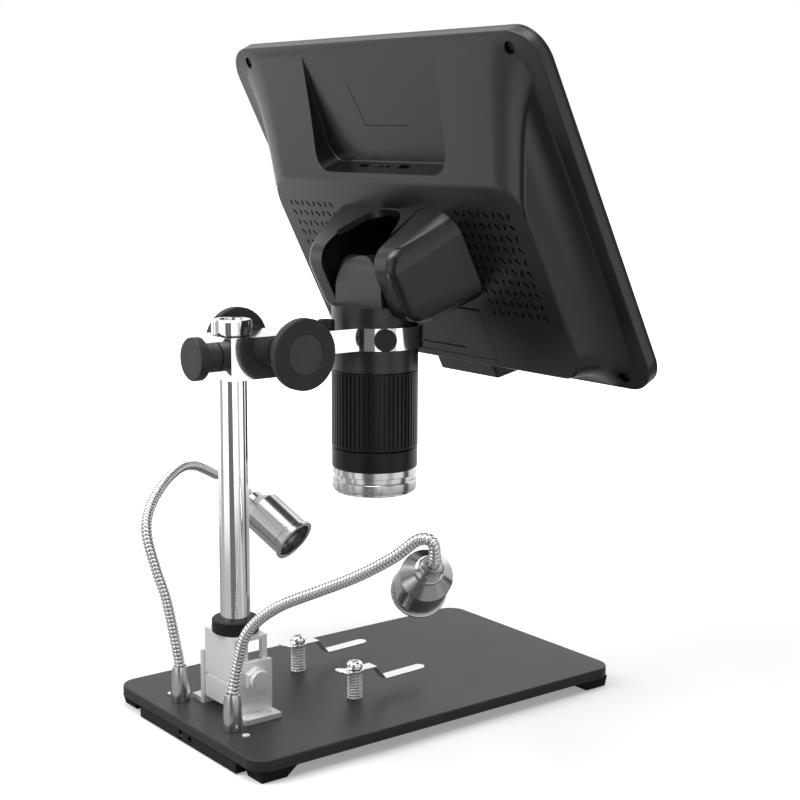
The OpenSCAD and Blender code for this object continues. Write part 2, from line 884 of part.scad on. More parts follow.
module sensor_board() {
    color("#1d5b34")
        translate([0, barrel_y, sensor_z]) {
            cylinder(h = 1.6, r = sleeve_r - 0.4);
            translate([-4, -4, -1.4])
                cube([8, 8, 1.5]);
        }
}

// Fixed sleeve that the focus ring turns on, with a smooth band at its foot
module lens_tube() {
    color("#202020")
        translate([0, barrel_y, 0])
            difference() {
                union() {
                    translate([0, 0, band_z0])
                        cylinder(h = sensor_z - band_z0, r = sleeve_r, $fn = 96);
                    translate([0, 0, band_z0])
                        cylinder(h = focus_z0 - gap - band_z0, r = barrel_r - 0.15, $fn = 96);
                }
                translate([0, 0, band_z0 - 1])
                    cylinder(h = sensor_z, r = sleeve_r - sleeve_wall, $fn = 96);
            }
}

module focus_ring() {
    top = neck_z0 - gap;
    groove = 0.55;
    color("#2a2a2a")
        translate([0, barrel_y, focus_z0])
            difference() {
                cylinder(h = top - focus_z0, r = barrel_r, $fn = 96);
                translate([0, 0, -1])
                    cylinder(h = top, r = sleeve_r + running, $fn = 96);
                for (i = [0:focus_ribs - 1])
                    rotate([0, 0, 360 * (i + 0.5) / focus_ribs])
                        translate([barrel_r - groove, -0.4, 1])
                            cube([2, 0.8, top - focus_z0 - 7]);
            }
}

module lens_cell() {
    color("#303030")
        translate([0, barrel_y, cell_z0])
            difference() {
                cylinder(h = cell_h, r = sleeve_r - sleeve_wall - running, $fn = 96);
                translate([0, 0, -1])
                    cylinder(h = cell_h + 2, r = lens_r - 1.5);
                translate([0, 0, -1])
                    cylinder(h = 4.5, r = lens_r);
                translate([0, 0, cell_h - 3.5])
                    cylinder(h = 4.5, r = lens_r);
            }
}

module lens_elements() {
    color("#9fc4d6")
        translate([0, barrel_y, cell_z0]) {
            translate([0, 0, 0.5])
                cylinder(h = 3, r = lens_r);
            translate([0, 0, cell_h - 3.5])
                cylinder(h = 3, r = lens_r);
        }
}

module front_ring() {
    outer = barrel_r - 0.75;
    spigot_r = sleeve_r - sleeve_wall - 0.05;
    color("#dcdde0")
        translate([0, barrel_y, 0])
            difference() {
                union() {
                    translate([0, 0, barrel_bottom])
                        rotate_extrude($fn = 96)
                            polygon([[window_r - 2, 0], [outer - 0.8, 0], [outer, 0.8],
                                [outer, 6.4], [outer - 0.5, 6.8], [outer - 0.5, 8.4],
                                [outer, 8.8], [outer, band_z0 - barrel_bottom],
                                [window_r - 2, band_z0 - barrel_bottom]]);
                    translate([0, 0, band_z0 - e])
                        cylinder(h = 3, r = spigot_r, $fn = 96);
                }
                translate([0, 0, barrel_bottom - 1])
                    cylinder(h = 3 + band_z0, r = window_r - 1.2);
                translate([0, 0, window_z])
                    cylinder(h = 30, r = window_r + 0.02);
            }
}

module front_window() {
    color("#a9cfe0")
        translate([0, barrel_y, window_z])
            cylinder(h = window_t, r = window_r);
}

// ---- screen ----

// Puts the screen's own frame on the hinge, leaning back
module on_screen() {
    translate([0, barrel_y, hinge_z])
        rotate([90 - screen_tilt, 0, 0])
            translate([0, -hinge_v, hinge_d])
                children();
}

// Solid of one outline between two depths behind the glass
module behind(d0, d1) {
    translate([0, 0, -d1])
        linear_extrude(d1 - d0)
            children();
}

// Corner points of the hump's section: half width, foot, top and corner radius
function hump_flank(u) = 0.5 * u + 0.5 * pow(u, 5);
function hump_section(d, inset) =
    let(u = min(1, max(0, (hump_depth - inset - d) / (hump_depth - slab_d))),
        f = hump_flank(u))
    [hump_w / 2 + hump_flare * f - inset, hump_v0 - hump_foot * f + inset,
     hump_v1 + hump_brow * f - inset, hump_r + 4 * f - inset];
function section_points(s, d) =
    [for (c = [[1, 1, 0], [-1, 1, 90], [-1, -1, 180], [1, -1, 270]]) for (k = [0:6])
        let(a = c[2] + 15 * k, r = s[3])
        [c[0] * (s[0] - r) + r * cos(a), (c[1] > 0 ? s[2] - r : s[1] + r) + r * sin(a), -d]];

// Hump of the back shell, flaring out to the slab; inset gives its inner surface
module hump(inset, d0) {
    steps = [0, 0.14, 0.28, 0.42, 0.56, 0.7, 0.8, 0.88, 0.94, 1];
    back = hump_depth - inset;
    depths = concat([for (u = steps) back - u * (hump_depth - slab_d)], [d0]);
    count = 28;
    points = [for (d = depths) each section_points(hump_section(d, inset), d)];
    rings = len(depths);
    walls = [for (i = [0:rings - 2]) for (k = [0:count - 1])
        let(k2 = (k + 1) % count)
        each [[(i + 1) * count + k2, i * count + k2, i * count + k],
              [(i + 1) * count + k, (i + 1) * count + k2, i * count + k]]];
    first_cap = [for (k = [0:count - 1]) k];
    last_cap = [for (k = [count - 1:-1:0]) (rings - 1) * count + k];
    polyhedron(points, concat(walls, [first_cap, last_cap]), convexity = 6);
}

// Room for the plugs: open at the top, with a floor that slopes in
module pocket(extra) {
    half = pocket_w / 2 + extra;
    v0 = pocket_v0 - extra;
    r = pocket_r + extra;
    past = 2 * hump_depth;
    top = screen_h / 2 + 12;
    intersection() {
        translate([0, 0, -past])
            linear_extrude(past) {
                translate([-half, v0 + r])
                    square([2 * half, top - v0 - r]);
                translate([-half + r, v0])
                    square([2 * half - 2 * r, r + 1]);
                for (sx = [-1, 1])
                    translate([sx * (half - r), v0 + r])
                        circle(r);
            }
        rotate([0, 90, 0])
            translate([0, 0, -half - 1])
                linear_extrude(2 * half + 2)
                    polygon([[past, v0 - 5], [past, top], [pocket_floor1 - extra - 1.4, top],
                        [pocket_floor0 - extra, pocket_v0]]);
    }
}

// Swelling at the foot of the hump
module foot_boss() {
    half = boss_w / 2;
    intersection() {
        translate([0, 0, -boss_d])
            linear_extrude(boss_d - slab_d + 1)
                translate([-half - boss_slope, boss_v])
                    square([2 * half + 2 * boss_slope, hump_v0 - boss_v + 4]);
        rotate([90, 0, 0])
            translate([0, 0, -hump_v0 - 10])
                linear_extrude(40)
                    polygon([[-half, -boss_d], [half, -boss_d], [half + boss_slope, 0],
                        [-half - boss_slope, 0]]);
    }
}

module shell_outer() {
    behind(bezel_t, slab_d)
        round_rect(screen_w, screen_h, slab_r);
    hump(0, slab_d - 1);
    foot_boss();
}

module shell_inner() {
    hump(shell_t, slab_d - 2);
    behind(bezel_t - 1, slab_d - 1)
        translate([0, (cavity_top() + cavity_foot()) / 2])
            round_rect(2 * cavity_side(), cavity_top() - cavity_foot(), cavity_r);
}

function cavity_side() = picture_w / 2 + panel_edge + panel_side_room;
function cavity_top() = picture_v + picture_h / 2 + panel_edge + panel_top_room;
function cavity_foot() = hump_v0 - hump_foot + shell_t;

module screen_back_shell() {
    color("#2f2f2f")
        on_screen()
            difference() {
                union() {
                    difference() {
                        shell_outer();
                        difference() {
                            shell_inner();
                            pocket(shell_t);
                        }
                    }
                    // posts for the main board
                    for (sx = [-1, 1], v = [board_v0 + 8, board_v1 - 6])
                        translate([sx * (board_w / 2 - 6), v, -hump_depth + 1])
                            cylinder(h = hump_depth - 1 - board_d - board_t, r = board_post_r);
                    // corner posts for the shell's screws
                    for (sx = [-1, 1], sv = [-1, 1])
                        translate([sx * screw_x, sv * screw_v, -slab_d])
                            cylinder(h = slab_d - bezel_t, r = screw_post_r);
                }
                pocket(0);
                behind(hump_depth - 8, hump_depth + 1)
                    translate([0, (mount_v0 + mount_v1) / 2])
                        square([mount_w + 0.2, mount_v1 - mount_v0 + 0.2], center = true);
                behind(hump_depth - 8, hump_depth + 1)
                    translate([0, (door_v0 + door_v1) / 2])
                        square([door_w + 0.5, door_v1 - door_v0 + 0.5], center = true);
                for (sx = [-1, 1], sv = [-1, 1])
                    translate([sx * screw_x, sv * screw_v, -slab_d - 1]) {
                        cylinder(h = 3.5, r = 2.6);
                        cylinder(h = slab_d + 2, r = 1.3);
                    }
                for (p = port_places())
                    translate([p[0] - p[1] / 2, pocket_v0 - shell_t - 1, -p[3]])
                        cube([p[1], shell_t + 2, p[3] - p[2]]);
            }
}

// Middle, width and the two depths of each port in the pocket's foot
function port_places() = [[19.4, 7, 14.4, 17], [6, 2, 15, 17], [1, 2, 15, 17], [-10.5, 7.4, 14, 17.2]];

module port_sockets() {
    color("#a8a9ab")
        on_screen()
            for (p = port_places())
                translate([p[0] - p[1] / 2 - 0.8, pocket_v0 - shell_t - 11, -p[3] - 0.8])
                    difference() {
                        cube([p[1] + 1.6, 10.9, p[3] + 0.8 - board_d - board_t]);
                        translate([0.9, 3, 0.9])
                            cube([p[1] - 0.2, 12, p[3] - p[2] - 0.2]);
                    }
}

module screen_front_bezel() {
    color("#1c1c1c")
        on_screen()
            difference() {
                behind(0, bezel_t)
                    difference() {
                        round_rect(screen_w, screen_h, slab_r);
                        translate([0, picture_v])
                            square([picture_w, picture_h], center = true);
                        for (x = key_x)
                            translate([x, key_v])
                                round_rect(key_w + 0.5, key_h + 0.5, key_h / 2 + 0.2);
                    }
                for (sx = [-1, 1], sv = [-1, 1])
                    translate([sx * screw_x, sv * screw_v, -bezel_t - 1])
                        cylinder(h = bezel_t + 1 - screw_tip, r = 1.22);
            }
}

module lcd_panel() {
    color("#101318")
        on_screen()
            behind(bezel_t, bezel_t + panel_t)
                translate([0, picture_v])
                    square([picture_w + 2 * panel_edge, picture_h + 2 * panel_edge], center = true);
}

module main_board() {
    color("#1c5c35")
        on_screen() {
            behind(board_d, board_d + board_t)
                translate([-board_w / 2, board_v0])
                    square([board_w, board_v1 - board_v0]);
            behind(board_d + board_t - e, board_d + board_t + chip_t)
                for (x = chip_x)
                    translate([x - chip_w / 2, chip_v])
                        square([chip_w, chip_w]);
        }
}

module battery_pack() {
    color("#2f4f8f")
        on_screen()
            behind(battery_d, hump_depth - shell_t - gap)
                translate([0, (door_v0 + door_v1) / 2])
                    round_rect(door_w - 4, door_v1 - door_v0 - 3, 2);
}

module battery_door() {
    color("#333333")
        on_screen()
            difference() {
                union() {
                    behind(hump_depth - shell_t, hump_depth)
                        translate([-door_w / 2, door_v0])
                            square([door_w, door_v1 - shell_t / 2 - door_v0]);
                    // the hinge edge is round about the hinge's axis
                    translate([-door_w / 2, door_v1 - shell_t / 2, shell_t / 2 - hump_depth])
                        rotate([0, 90, 0])
                            cylinder(h = door_w, r = shell_t / 2);
                }
                behind(hump_depth - 0.8, hump_depth + 1)
                    translate([0, door_v0 + 4.4])
                        square([31.4, 1], center = true);
            }
}

// Two hinge ears on a plate that fills the shell's opening, with a sunk pan between them
module hinge_housing() {
    color("#2c2c2c")
        on_screen()
            difference() {
                union() {
                    behind(hump_depth - shell_t, hump_depth)
                        translate([0, (mount_v0 + mount_v1) / 2])
                            square([mount_w, mount_v1 - mount_v0], center = true);
                    behind(hump_depth - 2 * shell_t, hump_depth - shell_t)
                        translate([0, (mount_v0 + mount_v1) / 2])
                            square([mount_w + 5, mount_v1 - mount_v0 + 2.5], center = true);
                    behind(pan_d - pan_wall, hump_depth - shell_t)
                        pan_outline(pan_wall);
                    both_sides()
                        hinge_ear();
                }
                behind(pan_d, hump_depth + 1)
                    pan_outline(0);
                translate([-ear_x1 + 2.2, hinge_v, -hinge_d])
                    rotate([0, 90, 0])
                        cylinder(h = 2 * ear_x1 - 4.4, r = hinge_r + running);
            }
}

// Ear with a wide foot on the shell, drawn in to a rounded tip
module hinge_ear() {
    hull() {
        behind(hump_depth, hump_depth + 0.5) {
            translate([ear_foot_x - ear_foot_r, ear_foot_v1 - ear_foot_r])
                circle(ear_foot_r, $fn = 32);
            translate([ear_foot_x - ear_foot_r, ear_foot_v0 + ear_foot_r])
                circle(ear_foot_r, $fn = 32);
            translate([ear_x0, ear_foot_v0])
                square([1, ear_foot_v1 - ear_foot_v0]);
        }
        x_rod(ear_x0, ear_x1, ear_low_v, ear_low_r - ear_tip_d, ear_low_r, $fn = 32);
        x_rod(ear_x0, ear_x1, ear_high_v, ear_high_r - ear_tip_d, ear_high_r, $fn = 32);
    }
    // root that ties the ear to the plate
    behind(hump_depth - shell_t / 2, hump_depth + 1)
        translate([ear_x0, ear_foot_v0 + 1])
            square([mount_w / 2 - ear_x0 - 1, mount_v1 - ear_foot_v0 - 3]);
}

// Arched outline of the pan between the ears
module pan_outline(extra) {
    half = ear_x0 + extra;
    top = mount_v1 - 1 - ear_x0;
    translate([-half, mount_v0 + 3 - extra])
        square([2 * half, top - mount_v0 - 3 + extra]);
    translate([0, top])
        circle(half);
}

module hinge_shaft() {
    color("#b4b5b7")
        on_screen()
            translate([-ear_x1 + 2.4, hinge_v, -hinge_d])
                rotate([0, 90, 0])
                    cylinder(h = 2 * ear_x1 - 4.8, r = hinge_r);
}

module shell_screws() {
    color("#101010")
        on_screen()
            for (sx = [-1, 1], sv = [-1, 1])
                translate([sx * screw_x, sv * screw_v, 0]) {
                    translate([0, 0, -slab_d + 0.9])
                        cylinder(h = 1.6, r = 2.4);
                    translate([0, 0, -slab_d + 2])
                        cylinder(h = slab_d - 2 - screw_tip, r = 1.2);
                }
}

module key_board() {
    color("#1c5c35")
        on_screen()
            behind(bezel_t + 2.2, bezel_t + 3.4)
                translate([0, key_v])
                    square([key_board_w, key_board_h], center = true);
}

module key(x) {
    color("#3a3a3a")
        on_screen() {
            translate([0, 0, -bezel_t - 0.2])
                linear_extrude(bezel_t + 0.2 + key_proud)
                    translate([x, key_v])
                        round_rect(key_w, key_h, key_h / 2 - 0.05);
            behind(bezel_t + 0.2, bezel_t + 1.2)
                translate([x, key_v])
                    square([key_w + 2 * key_rim, key_h + 2 * key_rim], center = true);
        }
}

// ---- lamps ----

// Local Z runs out of the lamp's mouth, and the mouth is at local Z = 0
module at_lamp(place, dir) {
    translate(place)
        rotate([0, acos(dir[2] / norm(dir)), atan2(dir[1], dir[0])])
            children();
}

module lamp_shell(place, dir) {
    back = -lamp_len - lamp_back;
    color("#dcdde0")
        at_lamp(place, dir)
            rotate_extrude()
                polygon([
                    [neck_r + 0.15, back], [3.8, back], [3.8, back + 7.2],
                    [4.5, back + 7.6], [5.9, back + 9.2], [5.9, back + 12.5],
                    [lamp_r, -lamp_len], [lamp_r, -1.5], [lamp_r + 0.85, -1.5],
                    [lamp_r + 0.85, 0], [lamp_r - lamp_wall, 0], [lamp_r - lamp_wall, -lens_deep],
                    [lamp_r - 2, -lens_deep], [lamp_r - 2, -lamp_len + 4], [0, -lamp_len + 4],
                    [0, back + 10], [neck_r + 0.15, back + 10]]);
}

module lamp_lens(place, dir) {
    color("#cfe4ee")
        at_lamp(place, dir)
            translate([0, 0, -lens_deep])
                cylinder(h = lens_t, r = lamp_r - lamp_wall - running);
}

module lamp_led(place, dir) {
    color("#e9e2b0")
        at_lamp(place, dir)
            translate([0, 0, -lamp_len + 4]) {
                cylinder(h = 1.6, r = lamp_r - 2.05);
                translate([-2, -2, 1.5])
                    cube([4, 4, 1]);
            }
}

module gooseneck(socket, bends) {
    color("#bfc0c2")
        translate(socket)
            swept_tube(smooth_path(bends, 3), neck_r, 10, [1, 0, 0]);
}

base_plate();
base_feet();
port_housing();
lamp_driver_board();
power_jack();
gooseneck_sockets();
gooseneck_nuts();
base_screws();
angle_brackets();
post_bracket();
bracket_bolt();
bracket_nut();
post();
post_rack();
post_collar();
post_cap();
clip_screws();
clip_springs();
lamp_switch();
stage_clip(-1);  // stage_clip_left
stage_clip(1);  // stage_clip_right
carriage_block();
barrel_holder();
arm_screw();
holder_set_screw();
pinion_shaft();
mirror([1, 0, 0]) lift_knob();  // lift_knob_left
lift_knob();  // lift_knob_right
idler_gear();
tension_knob();
barrel_neck();
sensor_board();
lens_tube();
front_ring();
front_window();
focus_ring();
lens_cell();
lens_elements();
screen_back_shell();
screen_front_bezel();
lcd_panel();
main_board();
battery_pack();
battery_door();
hinge_housing();
hinge_shaft();
shell_screws();
port_sockets();
key_board();
key(key_x[0]);  // key_power
key(key_x[1]);  // key_menu
key(key_x[2]);  // key_ok
gooseneck(left_socket, left_bends);  // gooseneck_left
gooseneck(right_socket, right_bends);  // gooseneck_right
lamp_shell(lamp_left_at, lamp_left_dir);  // lamp_shell_left
lamp_shell(lamp_right_at, lamp_right_dir);  // lamp_shell_right
lamp_lens(lamp_left_at, lamp_left_dir);  // lamp_lens_left
lamp_lens(lamp_right_at, lamp_right_dir);  // lamp_lens_right
lamp_led(lamp_left_at, lamp_left_dir);  // lamp_led_left
lamp_led(lamp_right_at, lamp_right_dir);  // lamp_led_right
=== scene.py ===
# Bench microscope with a hinged screen, on a rack and pinion post stand.
import json
import math
import bmesh
import bpy
from mathutils import Matrix, Vector


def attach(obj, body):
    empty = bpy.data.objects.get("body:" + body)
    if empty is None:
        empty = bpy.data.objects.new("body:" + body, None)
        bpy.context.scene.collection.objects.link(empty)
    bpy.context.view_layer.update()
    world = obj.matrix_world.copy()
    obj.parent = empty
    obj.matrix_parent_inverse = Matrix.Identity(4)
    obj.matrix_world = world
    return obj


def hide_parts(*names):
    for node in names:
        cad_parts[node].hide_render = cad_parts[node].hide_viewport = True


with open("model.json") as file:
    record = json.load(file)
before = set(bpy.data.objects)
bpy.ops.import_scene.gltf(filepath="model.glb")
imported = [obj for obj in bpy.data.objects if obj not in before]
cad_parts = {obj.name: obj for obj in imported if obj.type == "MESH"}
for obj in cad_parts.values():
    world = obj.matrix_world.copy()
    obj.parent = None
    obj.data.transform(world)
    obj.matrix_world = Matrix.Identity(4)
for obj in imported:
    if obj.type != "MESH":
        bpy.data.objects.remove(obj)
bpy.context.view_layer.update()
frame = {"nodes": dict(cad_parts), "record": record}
print("frame loaded with", len(frame["nodes"]), "nodes")

mm = 0.001

# the main axes in millimetres, the hinge also on the screen's own frame, and the screen's lean in degrees
layout = {
    "postY": 72.6,
    "barrelY": -2.7,
    "hingeZ": 198.0,
    "axleZ": 167.7,
    "pinionY": 54.0,
    "tensionZ": 165.7,
    "socketX": 22.0,
    "socketY": 88.0,
    "clipX": 22.6,
    "clipY": 24.8,
    "screenTilt": 27.0,
    "hingeV": -10.0,
    "hingeDepth": 44.0,
}
bothSides = ((-1, "left"), (1, "right"))
past = 1.0  # how far a cutter reaches past what it cuts
copyLimits = {"merge": 0.002, "flat": 0.6}  # millimetres between doubled points, degrees between flat faces

# the screen's own frame: x across, y up the glass, z out of the glass
screenPlace = (
    Matrix.Translation((0, layout["barrelY"] * mm, layout["hingeZ"] * mm))
    @ Matrix.Rotation(math.radians(90 - layout["screenTilt"]), 4, "X")
    @ Matrix.Translation((0, -layout["hingeV"] * mm, layout["hingeDepth"] * mm))
)


def clearSelection():
    if bpy.context.object and bpy.context.object.mode != "OBJECT":
        bpy.ops.object.mode_set(mode="OBJECT")
    bpy.ops.object.select_all(action="DESELECT")


def selectOnly(piece):
    clearSelection()
    piece.select_set(True)
    bpy.context.view_layer.objects.active = piece


def editMesh(piece):
    selectOnly(piece)
    bpy.ops.object.mode_set(mode="EDIT")


def leaveEdit():
    bpy.ops.mesh.select_all(action="SELECT")
    bpy.ops.mesh.normals_make_consistent(inside=False)
    bpy.ops.object.mode_set(mode="OBJECT")


def turnOutwards(piece):
    editMesh(piece)
    leaveEdit()


def pickFaces(piece, wanted):
    # leaves the piece in edit mode with the wanted faces selected
    editMesh(piece)
    bpy.ops.mesh.select_all(action="DESELECT")
    bpy.ops.mesh.select_mode(type="FACE")
    mesh = bmesh.from_edit_mesh(piece.data)
    for face in mesh.faces:
        face.select_set(wanted(face))
    bmesh.update_edit_mesh(piece.data)


def applyModifier(piece, kind, **settings):
    selectOnly(piece)
    bpy.ops.object.modifier_add(type=kind)
    modifier = piece.modifiers[-1]
    for key, value in settings.items():
        setattr(modifier, key, value)
    bpy.ops.object.modifier_apply(modifier=modifier.name)


def softenEdges(piece, width, segments=3, angle=30):
    applyModifier(piece, "BEVEL", width=width * mm, segments=segments, limit_method="ANGLE",
                  angle_limit=math.radians(angle), use_clamp_overlap=True)


def applyPlace(piece):
    selectOnly(piece)
    bpy.ops.object.transform_apply(location=True, rotation=True, scale=True)


def cutAway(piece, cutter):
    applyPlace(cutter)
    applyModifier(piece, "BOOLEAN", operation="DIFFERENCE", object=cutter, solver="EXACT")
    bpy.data.objects.remove(cutter)


def weldOn(piece, extra):
    applyPlace(extra)
    applyModifier(piece, "BOOLEAN", operation="UNION", object=extra, solver="EXACT")
    bpy.data.objects.remove(extra)


def joinPieces(pieces):
    selectOnly(pieces[0])
    for piece in pieces:
        piece.select_set(True)
    bpy.ops.object.join()
    return bpy.context.object


def finishPiece(piece, name, body, slot, replaced=(), matrix=None, smoothAngle=35, finish=None):
    applyPlace(piece)
    if matrix is not None:
        piece.data.transform(matrix)
    piece.name = name
    piece.data.name = name
    bpy.ops.object.shade_smooth_by_angle(angle=math.radians(smoothAngle))
    applyModifier(piece, "WEIGHTED_NORMAL", keep_sharp=True)
    piece.data.materials.clear()
    piece.data.materials.append(finishes[finish or slot])
    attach(piece, body)
    if replaced:
        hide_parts(*replaced)


def meshPiece(name, vertices, faces):
    mesh = bpy.data.meshes.new(name)
    mesh.from_pydata(vertices, [], faces)
    piece = bpy.data.objects.new(name, mesh)
    bpy.context.scene.collection.objects.link(piece)
    return piece


def boxPiece(low, high):
    clearSelection()
    middle = [(a + b) / 2 * mm for a, b in zip(low, high)]
    bpy.ops.mesh.primitive_cube_add(size=1, location=middle)
    piece = bpy.context.object
    piece.scale = [(b - a) * mm for a, b in zip(low, high)]
    applyPlace(piece)
    return piece


def turnPiece(rings, sides=72, tube=False):
    # rings are (radius, height) in millimetres, from one end round to the other
    clearSelection()
    radius, height = rings[0]
    bpy.ops.mesh.primitive_circle_add(vertices=sides, radius=radius * mm, location=(0, 0, height * mm),
                                      fill_type="NOTHING" if tube else "NGON")
    piece = bpy.context.object
    bpy.ops.object.mode_set(mode="EDIT")
    bpy.ops.mesh.select_mode(type="VERT")
    bpy.ops.mesh.select_all(action="SELECT")
    for nextRadius, nextHeight in rings[1:] + (rings[:1] if tube else []):
        bpy.ops.mesh.extrude_region_move(
            TRANSFORM_OT_translate={"value": (0, 0, (nextHeight - height) * mm)})
        ratio = nextRadius / radius
        bpy.ops.transform.resize(value=(ratio, ratio, 1), center_override=(0, 0, 0))
        radius, height = nextRadius, nextHeight
    if tube:
        bpy.ops.mesh.select_all(action="SELECT")
        bpy.ops.mesh.remove_doubles(threshold=0.001 * mm)
    leaveEdit()
    applyPlace(piece)
    return piece


def roundedPlate(width, depth, radius, low, high, middle=(0, 0)):
    clearSelection()
    bpy.ops.mesh.primitive_plane_add(size=1, location=(middle[0] * mm, middle[1] * mm, low * mm))
    piece = bpy.context.object
    piece.scale = (width * mm, depth * mm, 1)
    applyPlace(piece)
    bpy.ops.object.mode_set(mode="EDIT")
    bpy.ops.mesh.select_all(action="SELECT")
    bpy.ops.mesh.bevel(offset=radius * mm, segments=12, affect="VERTICES")
    bpy.ops.mesh.select_all(action="SELECT")
    bpy.ops.mesh.extrude_region_move(TRANSFORM_OT_translate={"value": (0, 0, (high - low) * mm)})
    leaveEdit()
    return piece


def softenedCopy(node, width=0):
    # the machined solid, its loose triangles merged and its edges broken
    clearSelection()
    source = frame["nodes"][node]
    piece = bpy.data.objects.new(node + "_soft", source.data.copy())
    bpy.context.scene.collection.objects.link(piece)
    editMesh(piece)
    bpy.ops.mesh.select_all(action="SELECT")
    bpy.ops.mesh.customdata_custom_splitnormals_clear()
    bpy.ops.mesh.remove_doubles(threshold=copyLimits["merge"] * mm)
    bpy.ops.mesh.dissolve_limited(angle_limit=math.radians(copyLimits["flat"]))
    bpy.ops.object.mode_set(mode="OBJECT")
    if width:
        softenEdges(piece, width, segments=2)
    return piece


def cutCross(piece, slot, firstTurn, place=Matrix.Identity(4)):
    # two crossed screwdriver slots
    for turn in (firstTurn, firstTurn + 90):
        cutter = boxPiece(*slot)
        cutter.data.transform(Matrix.Rotation(math.radians(turn), 4, "Z"))
        cutter.data.transform(place)
        cutAway(piece, cutter)


def standingAt(x, y):
    return Matrix.Translation((x * mm, y * mm, 0))


def acrossX(y, z):
    # turned pieces are made along Z, and this lays one along X
    return Matrix.Translation((0, y * mm, z * mm)) @ Matrix.Rotation(math.radians(90), 4, "Y")


def acrossY(x, z):
    return Matrix.Translation((x * mm, 0, z * mm)) @ Matrix.Rotation(math.radians(-90), 4, "X")


finishes = {}


def newFinish(name, colour, roughness, metallic=0.0):
    finish = bpy.data.materials.new(name)
    finishes[name] = finish
    finish.use_nodes = True
    shader = finish.node_tree.nodes["Principled BSDF"]
    shader.inputs["Base Color"].default_value = (*colour, 1)
    shader.inputs["Roughness"].default_value = roughness
    shader.inputs["Metallic"].default_value = metallic
    return finish.node_tree, shader


def addNoise(tree, scale, detail=2.0, stretch=(1, 1, 1)):
    place = tree.nodes.new("ShaderNodeTexCoord")
    mapping = tree.nodes.new("ShaderNodeMapping")
    mapping.inputs["Scale"].default_value = stretch
    noise = tree.nodes.new("ShaderNodeTexNoise")
    noise.inputs["Scale"].default_value = scale
    noise.inputs["Detail"].default_value = detail
    tree.links.new(place.outputs["Object"], mapping.inputs["Vector"])
    tree.links.new(mapping.outputs["Vector"], noise.inputs["Vector"])
    return noise


def shadeColour(tree, shader, noise, dark, light):
    ramp = tree.nodes.new("ShaderNodeValToRGB")
    ramp.color_ramp.elements[0].position = 0.3
    ramp.color_ramp.elements[0].color = (*dark, 1)
    ramp.color_ramp.elements[1].position = 0.7
    ramp.color_ramp.elements[1].color = (*light, 1)
    tree.links.new(noise.outputs["Fac"], ramp.inputs["Fac"])
    tree.links.new(ramp.outputs["Color"], shader.inputs["Base Color"])


def mapRange(tree, value, toMin, toMax, fromMin=0.0, fromMax=1.0):
    spread = tree.nodes.new("ShaderNodeMapRange")
    spread.inputs["From Min"].default_value = fromMin
    spread.inputs["From Max"].default_value = fromMax
    spread.inputs["To Min"].default_value = toMin
    spread.inputs["To Max"].default_value = toMax
    tree.links.new(value, spread.inputs["Value"])
    return spread


def shadeRoughness(tree, shader, noise, low, high):
    spread = mapRange(tree, noise.outputs["Fac"], low, high)
    tree.links.new(spread.outputs["Result"], shader.inputs["Roughness"])


def addBump(tree, shader, noise, strength, distance):
    bump = tree.nodes.new("ShaderNodeBump")
    bump.inputs["Strength"].default_value = strength
    bump.inputs["Distance"].default_value = distance * mm
    tree.links.new(noise.outputs["Fac"], bump.inputs["Height"])
    tree.links.new(bump.outputs["Normal"], shader.inputs["Normal"])


def scaled(colour, factor):
    return tuple(min(1.0, channel * factor) for channel in colour)


def mouldedFinish(name, colour, roughness, grain=1400, bump=0.12, specular=0.22):
    tree, shader = newFinish(name, colour, roughness)
    shader.inputs["Specular IOR Level"].default_value = specular
    shadeColour(tree, shader, addNoise(tree, scale=60, detail=3), scaled(colour, 0.9), scaled(colour, 1.1))
    shadeRoughness(tree, shader, addNoise(tree, scale=25), roughness * 0.9, roughness * 1.1)
    addBump(tree, shader, addNoise(tree, grain), strength=bump, distance=0.05)


def polishedFinish(name, colour, roughness):
    tree, shader = newFinish(name, colour, roughness, 1.0)
    shadeColour(tree, shader, addNoise(tree, scale=40), scaled(colour, 0.95), scaled(colour, 1.03))
    shadeRoughness(tree, shader, addNoise(tree, scale=120, detail=4), roughness * 0.9, roughness * 1.15)


def satinFinish(name, colour, roughness, metallic):
    tree, shader = newFinish(name, colour, roughness, metallic)
    brushed = addNoise(tree, scale=300, detail=4, stretch=(1, 1, 12))
    shadeColour(tree, shader, brushed, scaled(colour, 0.95), scaled(colour, 1.03))
    shadeRoughness(tree, shader, brushed, roughness * 0.8, roughness * 1.25)
    addBump(tree, shader, brushed, strength=0.03, distance=0.02)


def clearFinish(name, colour, roughness):
    tree, shader = newFinish(name, colour, roughness)
    shader.inputs["Transmission Weight"].default_value = 1.0
    shader.inputs["IOR"].default_value = 1.45
    shadeRoughness(tree, shader, addNoise(tree, scale=80), roughness * 0.8, roughness * 1.2)


def boardFinish(name, colour):
    # solder mask with copper tracks just showing through
    tree, shader = newFinish(name, colour, 0.35)
    tracks = tree.nodes.new("ShaderNodeTexBrick")
    place = tree.nodes.new("ShaderNodeTexCoord")
    tracks.inputs["Scale"].default_value = 220
    tracks.inputs["Color1"].default_value = (*colour, 1)
    tracks.inputs["Color2"].default_value = (*scaled(colour, 1.3), 1)
    tracks.inputs["Mortar"].default_value = (*scaled(colour, 2.2), 1)
    tree.links.new(place.outputs["Object"], tracks.inputs["Vector"])
    tree.links.new(tracks.outputs["Color"], shader.inputs["Base Color"])


